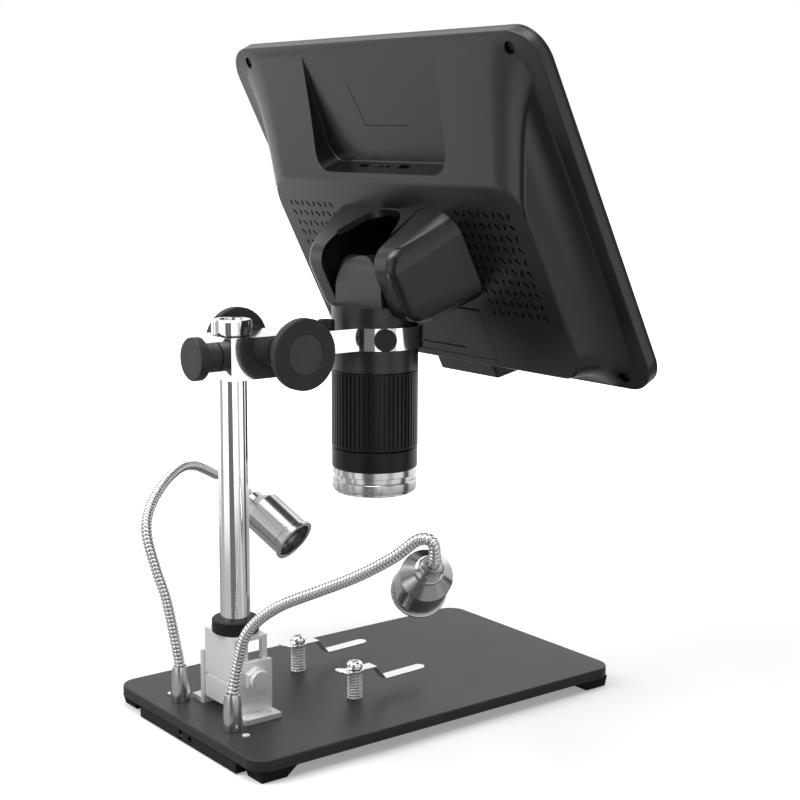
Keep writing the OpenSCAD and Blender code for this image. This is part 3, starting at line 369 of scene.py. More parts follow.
mouldedFinish("base_paint", (0.024, 0.024, 0.0245), 0.42, grain=900, bump=0.08, specular=0.38)
mouldedFinish("foot_rubber", (0.01, 0.01, 0.01), 0.75)
mouldedFinish("black_moulding", (0.012, 0.012, 0.0125), 0.5)
boardFinish("circuit_board", (0.01, 0.12, 0.04))
polishedFinish("polished_chrome", (0.93, 0.933, 0.937), 0.07)
satinFinish("satin_steel", (0.98, 0.98, 0.975), 0.3, metallic=0.2)
# the gooseneck's steel is painted darker than the chrome: painted shade standing in for the shade deep in the
# grooves between its turns
polishedFinish("neck_steel_painted_shade", (0.66, 0.66, 0.665), 0.16)
polishedFinish("socket_steel", (0.6, 0.6, 0.605), 0.2)
polishedFinish("lamp_steel", (0.45, 0.45, 0.455), 0.22)
polishedFinish("polished_aluminium", (0.92, 0.922, 0.925), 0.1)
mouldedFinish("black_anodised", (0.014, 0.014, 0.0145), 0.36, grain=2200, bump=0.05)
mouldedFinish("neck_black", (0.016, 0.016, 0.0164), 0.34, grain=2200, bump=0.05, specular=0.5)
mouldedFinish("knob_black", (0.042, 0.042, 0.043), 0.45)
clearFinish("clear_glass", (0.95, 0.98, 0.99), 0.02)
clearFinish("lamp_glass", (0.96, 0.97, 0.97), 0.12)
mouldedFinish("screen_plastic", (0.0065, 0.0065, 0.0067), 0.3, specular=0.55)
mouldedFinish("bezel_plastic", (0.014, 0.014, 0.015), 0.3, bump=0.04)
mouldedFinish("display_glass", (0.006, 0.0065, 0.008), 0.08, bump=0.0, specular=0.5)
mouldedFinish("battery_wrap", (0.03, 0.09, 0.3), 0.35)
mouldedFinish("key_plastic", (0.08, 0.08, 0.081), 0.4)
mouldedFinish("led_face", (0.85, 0.75, 0.35), 0.5)

for subpart in frame["record"]["subparts"]:
    node = frame["nodes"][subpart["node"]]
    node.data.materials.clear()
    node.data.materials.append(finishes[subpart["material_slot"]])
print("finishes set")


plateSize = {"width": 120.0, "depth": 200.0, "radius": 9.0, "low": 5.0, "high": 10.0}
baseEdges = {"plate": 0.6, "feet": 0.4, "cover": 0.3}


def makeBase():
    size = plateSize
    plate = roundedPlate(size["width"], size["depth"], size["radius"], size["low"], size["high"])
    softenEdges(plate, baseEdges["plate"], angle=50)
    finishPiece(plate, "stage_plate", "base", "base_paint", ["base_plate"])
    feet = softenedCopy("base_feet", baseEdges["feet"])
    finishPiece(feet, "block_feet", "base", "foot_rubber", ["base_feet"])
    cover = softenedCopy("port_housing", baseEdges["cover"])
    finishPiece(cover, "port_cover", "base", "black_moulding", ["port_housing"])


socketRings = [(4.1, 10.0), (4.3, 10.3), (4.3, 14.0), (4.25, 16.0), (4.12, 18.5), (3.9, 21.0), (3.6, 23.5),
               (3.35, 25.2), (3.2, 25.8), (3.05, 26.0), (2.6, 26.0), (2.5, 25.8), (2.5, 20.2)]


def makeSockets():
    for side, name in bothSides:
        socket = turnPiece(socketRings, 48)
        replaced = ["gooseneck_sockets"] if side > 0 else []
        finishPiece(socket, "neck_socket_" + name, "base", "polished_chrome", replaced,
                    standingAt(side * layout["socketX"], layout["socketY"]), finish="socket_steel")


bracketEdges = {"angle_brackets": 0.3, "post_bracket": 0.4, "bracket_nut": 0.4}
boltSize = {"edge": 0.3, "end": -20.4, "groove": 0.45, "inner": 3.0, "outer": 3.35, "height": 27.4}
collarRings = [(9.75, 45.0), (10.25, 45.5), (10.25, 50.5), (9.75, 51.0), (6.55, 51.0), (6.55, 45.0)]


def makeBracket():
    for node, width in bracketEdges.items():
        finishPiece(softenedCopy(node, width), node + "_worked", "base", "satin_steel", [node])
    size = boltSize
    bolt = softenedCopy("bracket_bolt", size["edge"])
    outside, bottom = size["end"] - past, size["end"] + size["groove"]
    groove = turnPiece([(size["inner"], outside), (size["outer"], outside), (size["outer"], bottom),
                        (size["inner"], bottom)], 48, tube=True)
    groove.data.transform(acrossX(layout["postY"], size["height"]))
    cutAway(bolt, groove)
    finishPiece(bolt, "bracket_bolt_worked", "base", "satin_steel", ["bracket_bolt"])
    collar = turnPiece(collarRings, tube=True)
    finishPiece(collar, "collar_ring", "base", "black_moulding", ["post_collar"],
                standingAt(0, layout["postY"]))


postRings = [(6.1, 41.0), (6.5, 41.4), (6.5, 174.3), (6.0, 174.8)]
rackGroove = ((-1.5, 60.0, 92.0), (1.5, 70.1, 173.2))
capRings = [(7.9, 174.8), (8.55, 175.4), (8.55, 180.7), (8.0, 181.3), (5.2, 181.4), (5.0, 180.8)]
capSlot = ((-5.6, -0.5, 180.0), (5.6, 0.5, 182.0))


def makePost():
    spot = standingAt(0, layout["postY"])
    post = turnPiece(postRings, 96)
    post.data.transform(spot)
    cutAway(post, boxPiece(*rackGroove))
    finishPiece(post, "post_rod", "base", "polished_chrome", ["post"])
    cap = turnPiece(capRings)
    cap.data.transform(spot)
    cutCross(cap, capSlot, 0, spot)
    finishPiece(cap, "post_end_cap", "base", "polished_chrome", ["post_cap"])


clipScrewRings = [(2.0, 5.0), (2.0, 24.1), (3.4, 24.1), (3.7, 24.4), (3.7, 25.8), (3.45, 26.6), (2.9, 27.15),
                  (2.2, 27.3)]
clipScrewSlot = ((-2.1, -0.35, 26.3), (2.1, 0.35, 28.0))
clipFront = {"half": 2.88, "tip": -14.0, "wide": -0.5, "low": 14.0, "high": 19.0, "reach": 6.0,
             "through": 20.0, "edge": 0.16}
springSize = {"wire": 0.36, "coil": 3.1, "turns": 9, "low": 10.5, "high": 22.2}


def coilSpring():
    size = springSize
    clearSelection()
    bpy.ops.mesh.primitive_circle_add(vertices=10, radius=size["wire"] * mm, fill_type="NGON",
                                      location=(size["coil"] * mm, 0, size["low"] * mm),
                                      rotation=(math.radians(90), 0, 0))
    spring = bpy.context.object
    applyPlace(spring)
    applyModifier(spring, "SCREW", axis="Z", iterations=size["turns"], steps=28, render_steps=28,
                  screw_offset=(size["high"] - size["low"]) / size["turns"] * mm, use_merge_vertices=False)
    turnOutwards(spring)
    return spring


def trimClip(clip, middle):
    # the front strip has parallel sides and a round end
    size = clipFront
    half, reach = size["half"], size["reach"]
    end = boxPiece((middle - reach, size["tip"] - past, size["low"]),
                   (middle + reach, size["tip"] + half, size["high"]))
    clearSelection()
    bpy.ops.mesh.primitive_cylinder_add(vertices=48, radius=half * mm, depth=size["through"] * mm,
                                        location=(middle * mm, (size["tip"] + half) * mm, size["low"] * mm))
    cutAway(end, bpy.context.object)
    cutAway(clip, end)
    for side in (-1, 1):
        near, far = sorted((middle + side * half, middle + side * reach))
        cutAway(clip, boxPiece((near, size["tip"] - past, size["low"]), (far, size["wide"], size["high"])))


def makeClips():
    for side, name in bothSides:
        spot = standingAt(side * layout["clipX"], layout["clipY"])
        screw = turnPiece(clipScrewRings, 40)
        cutCross(screw, clipScrewSlot, 20)
        finishPiece(screw, "clip_screw_" + name, "base", "polished_chrome",
                    ["clip_screws"] if side > 0 else [], spot)
        finishPiece(coilSpring(), "clip_spring_" + name, "base", "satin_steel",
                    ["clip_springs"] if side > 0 else [], spot, smoothAngle=60)
        clip = softenedCopy("stage_clip_" + name)
        trimClip(clip, side * layout["clipX"])
        softenEdges(clip, clipFront["edge"], segments=2, angle=25)
        finishPiece(clip, "spring_clip_" + name, "clip_" + name, "polished_chrome", ["stage_clip_" + name])


carriageEdges = {"carriage_block": 0.5, "barrel_holder": 0.45}
screwHeads = [("arm_screw", "arm_screw_head", 0.3), ("holder_set_screw", "set_screw_head", 0.35)]
liftKnobRings = [(8.0, 12.8), (8.35, 13.1), (8.35, 24.4), (14.7, 24.4), (15.25, 24.9), (15.25, 27.9),
                 (14.8, 28.4), (8.85, 28.4), (8.75, 28.3), (8.75, 28.0)]
liftDiscRings = [(8.6, 27.9), (8.6, 28.3), (8.5, 28.38)]
tensionRings = [(3.0, 79.2), (3.0, 80.7), (6.0, 80.7), (6.25, 81.0), (6.25, 88.2), (8.7, 88.2), (9.2, 88.7),
                (9.2, 92.1), (8.7, 92.6)]


def axleWheel(rings, sides, side):
    wheel = turnPiece(rings, sides)
    wheel.data.transform(acrossX(layout["pinionY"], layout["axleZ"]))
    if side < 0:
        wheel.data.transform(Matrix.Scale(-1, 4, (1, 0, 0)))
        turnOutwards(wheel)
    return wheel


def makeCarriage():
    for node, width in carriageEdges.items():
        finishPiece(softenedCopy(node, width), node + "_worked", "carriage", "polished_aluminium", [node])
    for node, name, width in screwHeads:
        finishPiece(softenedCopy(node, width), name, "carriage", "black_anodised", [node])
    for side, name in bothSides:
        knob = axleWheel(liftKnobRings, 96, side)
        finishPiece(knob, "lift_wheel_" + name, "pinion", "knob_black", ["lift_knob_" + name])
        finishPiece(axleWheel(liftDiscRings, 64, side), "lift_disc_" + name, "pinion", "key_plastic")
    finishPiece(turnPiece(tensionRings), "tension_grip", "tension", "knob_black", ["tension_knob"],
                acrossY(0, layout["tensionZ"]))


barrelSpot = standingAt(0, layout["barrelY"])
neckRimRings = [(17.9, 176.0), (19.65, 176.0), (19.65, 183.0), (17.9, 183.0)]
neckEdge = 0.25
focusSize = {"radius": 19.65, "inner": 17.45, "low": 118.6, "high": 153.7, "edge": 0.3, "ribs": 56,
             "groove": 0.6, "ribLow": 119.8, "ribHigh": 152.9}
lensTubeRings = [(14.8, 109.3), (19.1, 109.3), (19.5, 109.7), (19.5, 117.9), (19.1, 118.3), (17.38, 118.3),
                 (17.38, 159.9), (14.8, 159.9)]
frontRingRings = [(13.1, 100.2), (13.1, 98.0), (17.9, 97.8), (18.5, 98.2), (18.5, 98.9), (19.0, 99.2),
                  (19.2, 99.8), (19.2, 103.2), (19.0, 103.4), (17.5, 103.5), (17.5, 105.9), (19.0, 106.0),
                  (19.2, 106.2), (19.2, 109.0), (18.9, 109.3), (14.2, 109.3), (14.2, 101.0), (14.2, 100.2)]


def makeFocusRing():
    # every third strip of the band between the ribs' ends is sunk
    size = focusSize
    sides = size["ribs"] * 3
    radius, edge = size["radius"], size["edge"]
    middle = (size["ribLow"] + size["ribHigh"]) / 2 * mm
    ring = turnPiece([(size["inner"], size["low"]), (radius - edge, size["low"]),
                      (radius, size["low"] + edge), (radius, size["ribLow"]), (radius, size["ribHigh"]),
                      (radius, size["high"] - edge), (radius - edge, size["high"]),
                      (size["inner"], size["high"])], sides, tube=True)

    def isGroove(face):
        centre = face.calc_center_median()
        onBand = centre.to_2d().length > (radius - edge) * mm and abs(centre.z - middle) < 1 * mm
        step = math.degrees(math.atan2(centre.y, centre.x)) / 360 * sides
        return onBand and math.floor(step) % 3 == 0

    pickFaces(ring, isGroove)
    bpy.ops.mesh.extrude_region_shrink_fatten(TRANSFORM_OT_shrink_fatten={"value": -size["groove"] * mm})
    leaveEdit()
    finishPiece(ring, "ribbed_focus_ring", "focus", "black_anodised", ["focus_ring"], barrelSpot,
                smoothAngle=25)


def makeBarrel():
    neck = softenedCopy("barrel_neck")
    rim = turnPiece(neckRimRings, 96, tube=True)
    rim.data.transform(barrelSpot)
    weldOn(neck, rim)
    softenEdges(neck, neckEdge, segments=2, angle=35)
    finishPiece(neck, "arched_neck", "barrel", "black_anodised", ["barrel_neck"], finish="neck_black")
    makeFocusRing()
    sleeve = turnPiece(lensTubeRings, 96, tube=True)
    finishPiece(sleeve, "lens_sleeve", "barrel", "black_anodised", ["lens_tube"], barrelSpot)
    ring = turnPiece(frontRingRings, 96, tube=True)
    finishPiece(ring, "front_trim_ring", "barrel", "polished_chrome", ["front_ring"], barrelSpot,
                finish="socket_steel")


shellSize = {"width": 220.6, "height": 166.3, "corner": 15.0, "front": 1.8, "slab": 6.1, "back": 24.0,
             "humpWidth": 180.4, "humpLow": -69.0, "humpHigh": 23.1, "flareSide": 12.8, "flareLow": 13.2,
             "flareHigh": 57.5, "humpCorner": 14.0, "cornerGain": 4.0, "wall": 1.4, "edge": 0.8, "ridge": 0.5}
footSize = {"half": 20.5, "flare": 8.5, "low": -81.4, "high": -66.0, "shallow": 5.0, "deep": 17.4,
            "edge": 1.0}
pocketSize = {"width": 96.0, "low": 27.4, "corner": 9.5, "floorLow": 12.0, "floorHigh": 6.15, "reach": 56.0,
              "edge": 0.7}
portBand = {"low": 24.0, "high": 28.0}
portSet = [  # middle, width and the two depths of each port in the pocket's foot
    (19.4, 7.0, 14.4, 17.0), (6.0, 2.0, 15.0, 17.0), (1.0, 2.0, 15.0, 17.0), (-10.5, 7.4, 14.0, 17.2)]
pocketLine = {"points": [(19.0, 64.4), (14.3, 44.8), (-16.4, 44.7)], "half": 0.2, "deep": 0.5}
ventSize = {"start": 46.5, "pitch": 4.75, "count": 8, "top": 10.5, "rows": 5, "pairGap": 10.9, "rowGap": 5.2,
            "width": 1.15, "through": 8.0}
slitKinds = [{"length": 3.3, "turn": -45}, {"length": 2.64, "turn": 8}]
cornerScrews = {"x": 94.9, "v": 76.2, "radius": 2.7, "length": 3.4, "depth": 6.6}
shellOpenings = [  # the battery door's and the hinge pan's
    ((-36.25, -65.25, -30.0), (36.25, -38.25, -20.0)), ((-35.1, -35.6, -30.0), (35.1, 7.3, -20.0))]


def ringPoints(half, high, low, radius, depth):
    # a rectangle with round corners, at a depth behind the glass
    points = []
    steps = 10
    for sx, sy, start in ((1, 1, 0), (-1, 1, 90), (-1, -1, 180), (1, -1, 270)):
        for k in range(steps + 1):
            angle = math.radians(start + 90 * k / steps)
            y = high - radius if sy > 0 else low + radius
            points.append((
                (sx * (half - radius) + radius * math.cos(angle)) * mm,
                (y + radius * math.sin(angle)) * mm,
                -depth * mm))
    return points


def flank(u):
    # how far the sides and the foot of the hump have run out, from the ridge (0) down to the slab (1)
    return 0.5 * u + 0.5 * u ** 5


def brow(u):
    # the same for the long slope at the top
    return 0.9 * u + 0.1 * u ** 3


def pocketFloor(v):
    size = pocketSize
    return size["floorLow"] - max(0, v - size["low"]) * (size["floorLow"] - size["floorHigh"]) / size["reach"]


def loftShell():
    # one skin from the front rim over the slab and up the flared hump
    size = shellSize
    half, high = size["width"] / 2, size["height"] / 2
    rings = [ringPoints(half, high, -high, size["corner"], size["front"])]
    edge, roundSteps, flareSteps = size["edge"], 4, 26
    for k in range(roundSteps + 1):
        angle = math.radians(90 * k / roundSteps)
        inset = edge * (1 - math.cos(angle))
        depth = size["slab"] - edge + edge * math.sin(angle)
        rings.append(ringPoints(half - inset, high - inset, -high + inset, size["corner"] - inset, depth))
    for k in range(flareSteps + 1):
        u = 1 - k / flareSteps
        depth = size["back"] - u * (size["back"] - size["slab"])
        f = flank(u)
        broken = size["ridge"] * max(0, 1 - (size["back"] - depth) / size["ridge"]) ** 2
        rings.append(ringPoints(
            size["humpWidth"] / 2 + size["flareSide"] * f - broken,
            size["humpHigh"] + size["flareHigh"] * brow(u) - broken,
            size["humpLow"] - size["flareLow"] * f + broken,
            size["humpCorner"] + size["cornerGain"] * f, depth))
    count = len(rings[0])
    vertices = [point for ring in rings for point in ring]
    faces = []
    for i in range(len(rings) - 1):
        for k in range(count):
            after = (k + 1) % count
            faces.append((i * count + k, i * count + after, (i + 1) * count + after, (i + 1) * count + k))
    faces.append(tuple(range(count)))
    faces.append(tuple(range((len(rings) - 1) * count, len(rings) * count)))
    shell = meshPiece("shell", vertices, faces)
    turnOutwards(shell)
    return shell


def pocketCutter():
    # sloping floor, round lower corners, open at the top
    size = pocketSize
    height, deepEnd = 80, 60
    piece = roundedPlate(size["width"], height, size["corner"], -deepEnd, -size["floorLow"],
                         (0, size["low"] + height / 2))
    editMesh(piece)
    mesh = bmesh.from_edit_mesh(piece.data)
    for vertex in mesh.verts:
        if vertex.co.z > -deepEnd / 2 * mm:
            vertex.co.z = -pocketFloor(vertex.co.y / mm) * mm
    bmesh.update_edit_mesh(piece.data)
    leaveEdit()
    softenEdges(piece, size["edge"], angle=60)
    return piece


def lineCutter(start, end):
    # one leg of a fine engraved line on the pocket's floor
    start, end = Vector(start), Vector(end)
    along = (end - start).normalized() * pocketLine["half"]
    across = Vector((-along.y, along.x))
    vertices = []
    for middle in (start - along, end + along):
        for side in (-1, 1):
            for deep in (-pocketLine["deep"], pocketLine["deep"]):
                spot = middle + side * across
                vertices.append((spot.x * mm, spot.y * mm, (deep - pocketFloor(spot.y)) * mm))
    faces = [(0, 1, 3, 2), (4, 6, 7, 5), (0, 4, 5, 1), (2, 3, 7, 6), (0, 2, 6, 4), (1, 5, 7, 3)]
    cutter = meshPiece("line", vertices, faces)
    turnOutwards(cutter)
    return cutter


def footBoss():
    # the block under the hump, wider where it leaves the slab
    size = footSize
    half = size["half"]
    piece = boxPiece((-half, size["low"], -size["deep"]), (half, size["high"], -size["shallow"]))
    editMesh(piece)
    mesh = bmesh.from_edit_mesh(piece.data)
    for vertex in mesh.verts:
        if vertex.co.z > -(size["deep"] + size["shallow"]) / 2 * mm:
            vertex.co.x += math.copysign(size["flare"] * mm, vertex.co.x)
    bmesh.update_edit_mesh(piece.data)
    bpy.ops.object.mode_set(mode="OBJECT")
    softenEdges(piece, size["edge"])
    return piece


def ventCutter():
    # pairs of rows of slits, which lean one way and the other in turn
    size = ventSize
    clearSelection()
    bpy.ops.mesh.primitive_cube_add(size=1)
    cube = bpy.context.object
    slits = []
    for side in (-1, 1):
        for pair in range(size["rows"]):
            for row in range(2):
                v = size["top"] - pair * size["pairGap"] - row * size["rowGap"]
                for k in range(size["count"]):
                    kind = slitKinds[(k + row) % 2]
                    slit = bpy.data.objects.new("slit", cube.data.copy())
                    bpy.context.scene.collection.objects.link(slit)
                    slit.scale = (size["width"] * mm, kind["length"] * mm, size["through"] * mm)
                    slit.rotation_euler = (0, 0, math.radians(kind["turn"]))
                    slit.location = (side * (size["start"] + k * size["pitch"]) * mm, v * mm,
                                     -shellSize["back"] * mm)
                    slits.append(slit)
    bpy.data.objects.remove(cube)
    cutter = joinPieces(slits)
    applyPlace(cutter)
    return cutter


def makeShell():
    shell = loftShell()
    weldOn(shell, footBoss())
    cutAway(shell, pocketCutter())

    def isFront(face):
        return face.calc_center_median().z > -(shellSize["front"] + 0.05) * mm and abs(face.normal.z) > 0.9

    # the skin is opened at the front and given its wall
    pickFaces(shell, isFront)
    bpy.ops.mesh.delete(type="FACE")
    bpy.ops.object.mode_set(mode="OBJECT")
    applyModifier(shell, "SOLIDIFY", thickness=shellSize["wall"] * mm, offset=-1, use_even_offset=False)
    cutAway(shell, ventCutter())
    for start, end in zip(pocketLine["points"], pocketLine["points"][1:]):
        cutAway(shell, lineCutter(start, end))
    for x, width, shallow, deep in portSet:
        half = width / 2
        cutAway(shell, boxPiece((x - half, portBand["low"], -deep), (x + half, portBand["high"], -shallow)))
    screws = cornerScrews
    for sx in (-1, 1):
        for sv in (-1, 1):
            clearSelection()
            bpy.ops.mesh.primitive_cylinder_add(
                vertices=32, radius=screws["radius"] * mm, depth=screws["length"] * mm,
                location=(sx * screws["x"] * mm, sv * screws["v"] * mm, -screws["depth"] * mm))
            cutAway(shell, bpy.context.object)
    for low, high in shellOpenings:
        cutAway(shell, boxPiece(low, high))
    finishPiece(shell, "screen_shell", "screen", "screen_plastic", ["screen_back_shell"], screenPlace,
                smoothAngle=28)


coverEdges = {"round": 4.2, "broken": 0.4, "side": 27.0, "depth": 26.0, "sharp": 35}
saddleSize = {"half": 19.95, "low": 6.8, "sink": 1.0, "foot": 10.5, "spread": 0.3, "lean": 4.0, "plane": 24.0,
              "under": 0.2, "brim": 0.4, "rise": 18.0, "tip": 57.0}
panSize = {"low": -32.5, "corner": 6.0, "wall": 2.0, "floor": 14.0, "back": 21.9, "clear": 62.0, "play": 0.1}


def saddlePiece():
    # the ears run together over the pan, low in the middle and rising into each ear
    size = saddleSize
    sections = []
    steps = 24
    for k in range(steps + 1):
        x = size["half"] * (2 * k / steps - 1)
        deep = size["plane"] + size["brim"] + size["rise"] * abs(x / size["half"]) ** 3
        brink = size["foot"] - size["lean"] * (deep - size["plane"]) / (size["tip"] - size["plane"])
        low, under = size["low"] - size["sink"], size["plane"] - size["under"]
        corners = ((low, under), (low, deep), (brink, deep), (size["foot"] + size["spread"], under))
        sections.append([(x * mm, v * mm, -d * mm) for v, d in corners])
    vertices = [point for section in sections for point in section]
    faces = [(0, 1, 2, 3), tuple(4 * steps + k for k in (3, 2, 1, 0))]
    for k in range(steps):
        for side in range(4):
            faces.append((4 * k + side, 4 * k + 4 + side, 4 * k + 4 + (side + 1) % 4, 4 * k + (side + 1) % 4))
    saddle = meshPiece("saddle", vertices, faces)
    turnOutwards(saddle)
    return saddle


def makeHinge():
    size = coverEdges
    cover = softenedCopy("hinge_housing")
    cover.data.transform(screenPlace.inverted())
    editMesh(cover)
    bpy.ops.mesh.select_all(action="DESELECT")
    bpy.ops.mesh.select_mode(type="EDGE")
    mesh = bmesh.from_edit_mesh(cover.data)
    side, depth = size["side"] * mm, size["depth"] * mm
    for edge in mesh.edges:
        outside = all(abs(end.co.x) > side and end.co.z < -depth for end in edge.verts)
        edge.select_set(outside and edge.calc_face_angle(0) > math.radians(size["sharp"]))
    bmesh.update_edit_mesh(cover.data)
    # the ears are rounded over outside
    bpy.ops.mesh.bevel(offset=size["round"] * mm, segments=6, affect="EDGES", clamp_overlap=True)
    leaveEdit()
    # new walls and a floor for the sunk pan between the ears, and then its straight-sided recess
    pan, high = panSize, saddleSize["low"]
    middle = (0, (high + pan["low"]) / 2)
    width, depth, wall = 2 * saddleSize["half"], high - pan["low"], pan["wall"]
    weldOn(cover, roundedPlate(width + 2 * wall, depth + 2 * wall, pan["corner"] + wall, -pan["back"],
                               -pan["floor"] + wall, middle))
    weldOn(cover, saddlePiece())
    cutAway(cover, roundedPlate(width - pan["play"], depth, pan["corner"], -pan["clear"], -pan["floor"],
                                middle))
    softenEdges(cover, size["broken"], angle=35)
    finishPiece(cover, "hinge_cover", "screen", "screen_plastic", ["hinge_housing"], screenPlace)


screenEdges = {"lid": 0.2, "frame": 0.5, "key": 0.3}
keyBodies = {"key_power": "key_left", "key_menu": "key_middle", "key_ok": "key_right"}


def makeScreen():
    makeShell()
    makeHinge()
    lid = softenedCopy("battery_door", screenEdges["lid"])
    finishPiece(lid, "battery_lid", "door", "screen_plastic", ["battery_door"])
    rim = softenedCopy("screen_front_bezel", screenEdges["frame"])
    finishPiece(rim, "front_frame", "screen", "bezel_plastic", ["screen_front_bezel"])
    for key, body in keyBodies.items():
        finishPiece(softenedCopy(key, screenEdges["key"]), key + "_cap", body, "key_plastic", [key])


neckRoutes = {
    "left": [
        (-22, 88, 20.4), (-22, 88, 25.6), (-22, 86.4, 33), (-24, 85.5, 42), (-28, 85, 52), (-33, 82.5, 59),
        (-40, 79.5, 65), (-48, 76.4, 70), (-63, 69.4, 77.7), (-80, 64.2, 86.5), (-96, 59, 96.7),
        (-105.5, 55, 104.8), (-111.2, 52.4, 104.8), (-110, 50.1, 97.9), (-105.7, 47.4, 94.5),
        (-99.7, 44.1, 90.4)],
    "right": [
        (22, 88, 20.4), (22, 88, 25.6), (23.6, 89.4, 38), (27, 91.5, 56), (32, 93.7, 69.5), (39, 94, 84),
        (48, 87, 93), (57, 74.5, 101), (64, 62, 105), (71, 51, 103.5), (79, 39.4, 98.4), (85, 30.6, 94),
        (93, 21.6, 91.4), (104.5, 14.6, 91.6), (111.5, 10.2, 86.4), (103.6, 6.6, 80.2), (97.3, 4.2, 75.9)],
}
neckSize = {"ridge": 2.4, "groove": 1.55, "pitch": 1.7, "sides": 18, "steps": 6}
# one turn of the neck, as shares of the ridge's height and of the pitch
neckTurn = [(0.0, 0), (0.6, 0.07), (0.9, 0.22), (1.0, 0.5), (0.9, 0.78), (0.6, 0.93), (0.0, 1)]
lampRings = [(2.55, -31.6), (2.55, -41.4), (3.7, -41.5), (3.8, -41.3), (3.8, -36.9), (4.1, -36.6),
             (4.1, -36.1), (3.8, -35.8), (3.8, -34.4), (4.1, -33.9), (4.6, -33.2), (5.2, -32.5),
             (5.8, -32.2), (5.9, -31.9), (5.9, -29.1), (6.1, -28.9), (10.35, -24.2), (10.65, -23.8),
             (10.65, -4.5), (10.5, -4.35), (10.5, -4.15), (10.65, -4.0), (10.65, -1.6), (11.45, -1.5),
             (11.5, -1.4), (11.5, -0.1), (11.4, 0.0), (9.6, 0.0), (9.45, -0.15), (9.45, -6.8), (8.65, -6.8),
             (8.65, -20.0)]
lampPlaces = {  # the middle of each lamp's mouth, and the way it faces
    "left": ((-74.6, 30.2, 73.0), (0.748, -0.415, -0.518)),
    "right": ((70.7, -5.8, 58.0), (-0.791, -0.297, -0.536)),
}


def smoothRoute(points):
    # a smooth curve through every point, as the solid's own
    points = [Vector(point) for point in points]
    steps = neckSize["steps"]
    last = len(points) - 1
    route = []
    for i in range(last):
        a, b, c, d = points[max(i - 1, 0)], points[i], points[i + 1], points[min(i + 2, last)]
        for k in range(steps):
            t = k / steps
            route.append(0.5 * (2 * b + (c - a) * t + (2 * a - 5 * b + 4 * c - d) * t * t
                                + (3 * b - a - 3 * c + d) * t ** 3))
    route.append(points[last])
    return [point * mm for point in route]


def routeGuide(route):
    path = bpy.data.curves.new("neck_path", "CURVE")
    path.dimensions = "3D"
    spline = path.splines.new("POLY")
    spline.points.add(len(route) - 1)
    for point, spot in zip(spline.points, route):
        point.co = (*spot, 1)
    guide = bpy.data.objects.new("neck_path", path)
    bpy.context.scene.collection.objects.link(guide)
    return guide


def makeGooseneck(name):
    # one open turn, repeated along X and then bent along the route
    route = smoothRoute(neckRoutes[name])
    guide = routeGuide(route)
    length = sum((b - a).length for a, b in zip(route, route[1:]))
    size = neckSize
    pitch = size["pitch"]
    count = int(length / (pitch * mm))
    rise = size["ridge"] - size["groove"]
    coil = turnPiece([(size["groove"] + rise * out, pitch * along) for out, along in neckTurn], size["sides"])
    pickFaces(coil, lambda face: len(face.verts) > 4)
    bpy.ops.mesh.delete(type="ONLY_FACE")
    bpy.ops.object.mode_set(mode="OBJECT")
    coil.data.transform(Matrix.Rotation(math.radians(90), 4, "Y"))
    applyModifier(coil, "ARRAY", count=count, use_relative_offset=False, use_constant_offset=True,
                  constant_offset_displace=(pitch * mm, 0, 0), use_merge_vertices=True,
                  merge_threshold=0.01 * mm)
    coil.data.transform(Matrix.Scale(length / (count * pitch * mm), 4, (1, 0, 0)))
    editMesh(coil)
    bpy.ops.mesh.select_all(action="SELECT")
    bpy.ops.mesh.fill_holes(sides=0)
    leaveEdit()
    applyModifier(coil, "CURVE", object=guide, deform_axis="POS_X")
    bpy.data.objects.remove(guide)
    # the neck takes the darker steel, painted shade for its grooves
    finishPiece(coil, "flexible_neck_" + name, "neck_" + name, "polished_chrome", ["gooseneck_" + name],
                smoothAngle=60, finish="neck_steel_painted_shade")


def makeLamps():
    for name, (spot, facing) in lampPlaces.items():
        turn = Vector(facing).to_track_quat("Z", "Y").to_matrix().to_4x4()
        finishPiece(turnPiece(lampRings, 96), "lamp_head_" + name, "lamp_" + name, "polished_chrome",
                    ["lamp_shell_" + name], Matrix.Translation(Vector(spot) * mm) @ turn, finish="lamp_steel")
    for name in neckRoutes:
        makeGooseneck(name)


def rayKind(tree, names):
    # one wherever the ray is of any of the named kinds, and nothing elsewhere
    path = tree.nodes.new("ShaderNodeLightPath")
    total = path.outputs[names[0]]
    for name in names[1:]:
        either = tree.nodes.new("ShaderNodeMath")
        either.operation = "MAXIMUM"
        tree.links.new(total, either.inputs[0])
        tree.links.new(path.outputs[name], either.inputs[1])
        total = either.outputs[0]
    return total


whiteKinds = ("Is Camera Ray", "Is Glossy Ray", "Is Transmission Ray")
# the floor's own light grows with the distance in metres, pale is its paint, and the eye gets the Seen values
floorSize = {"size": 12, "from": 0.34, "to": 0.6, "near": 0.03, "nearSeen": 0.3, "far": 1.2, "pale": 0.45,
             "paleSeen": 0.9, "roughness": 0.9}


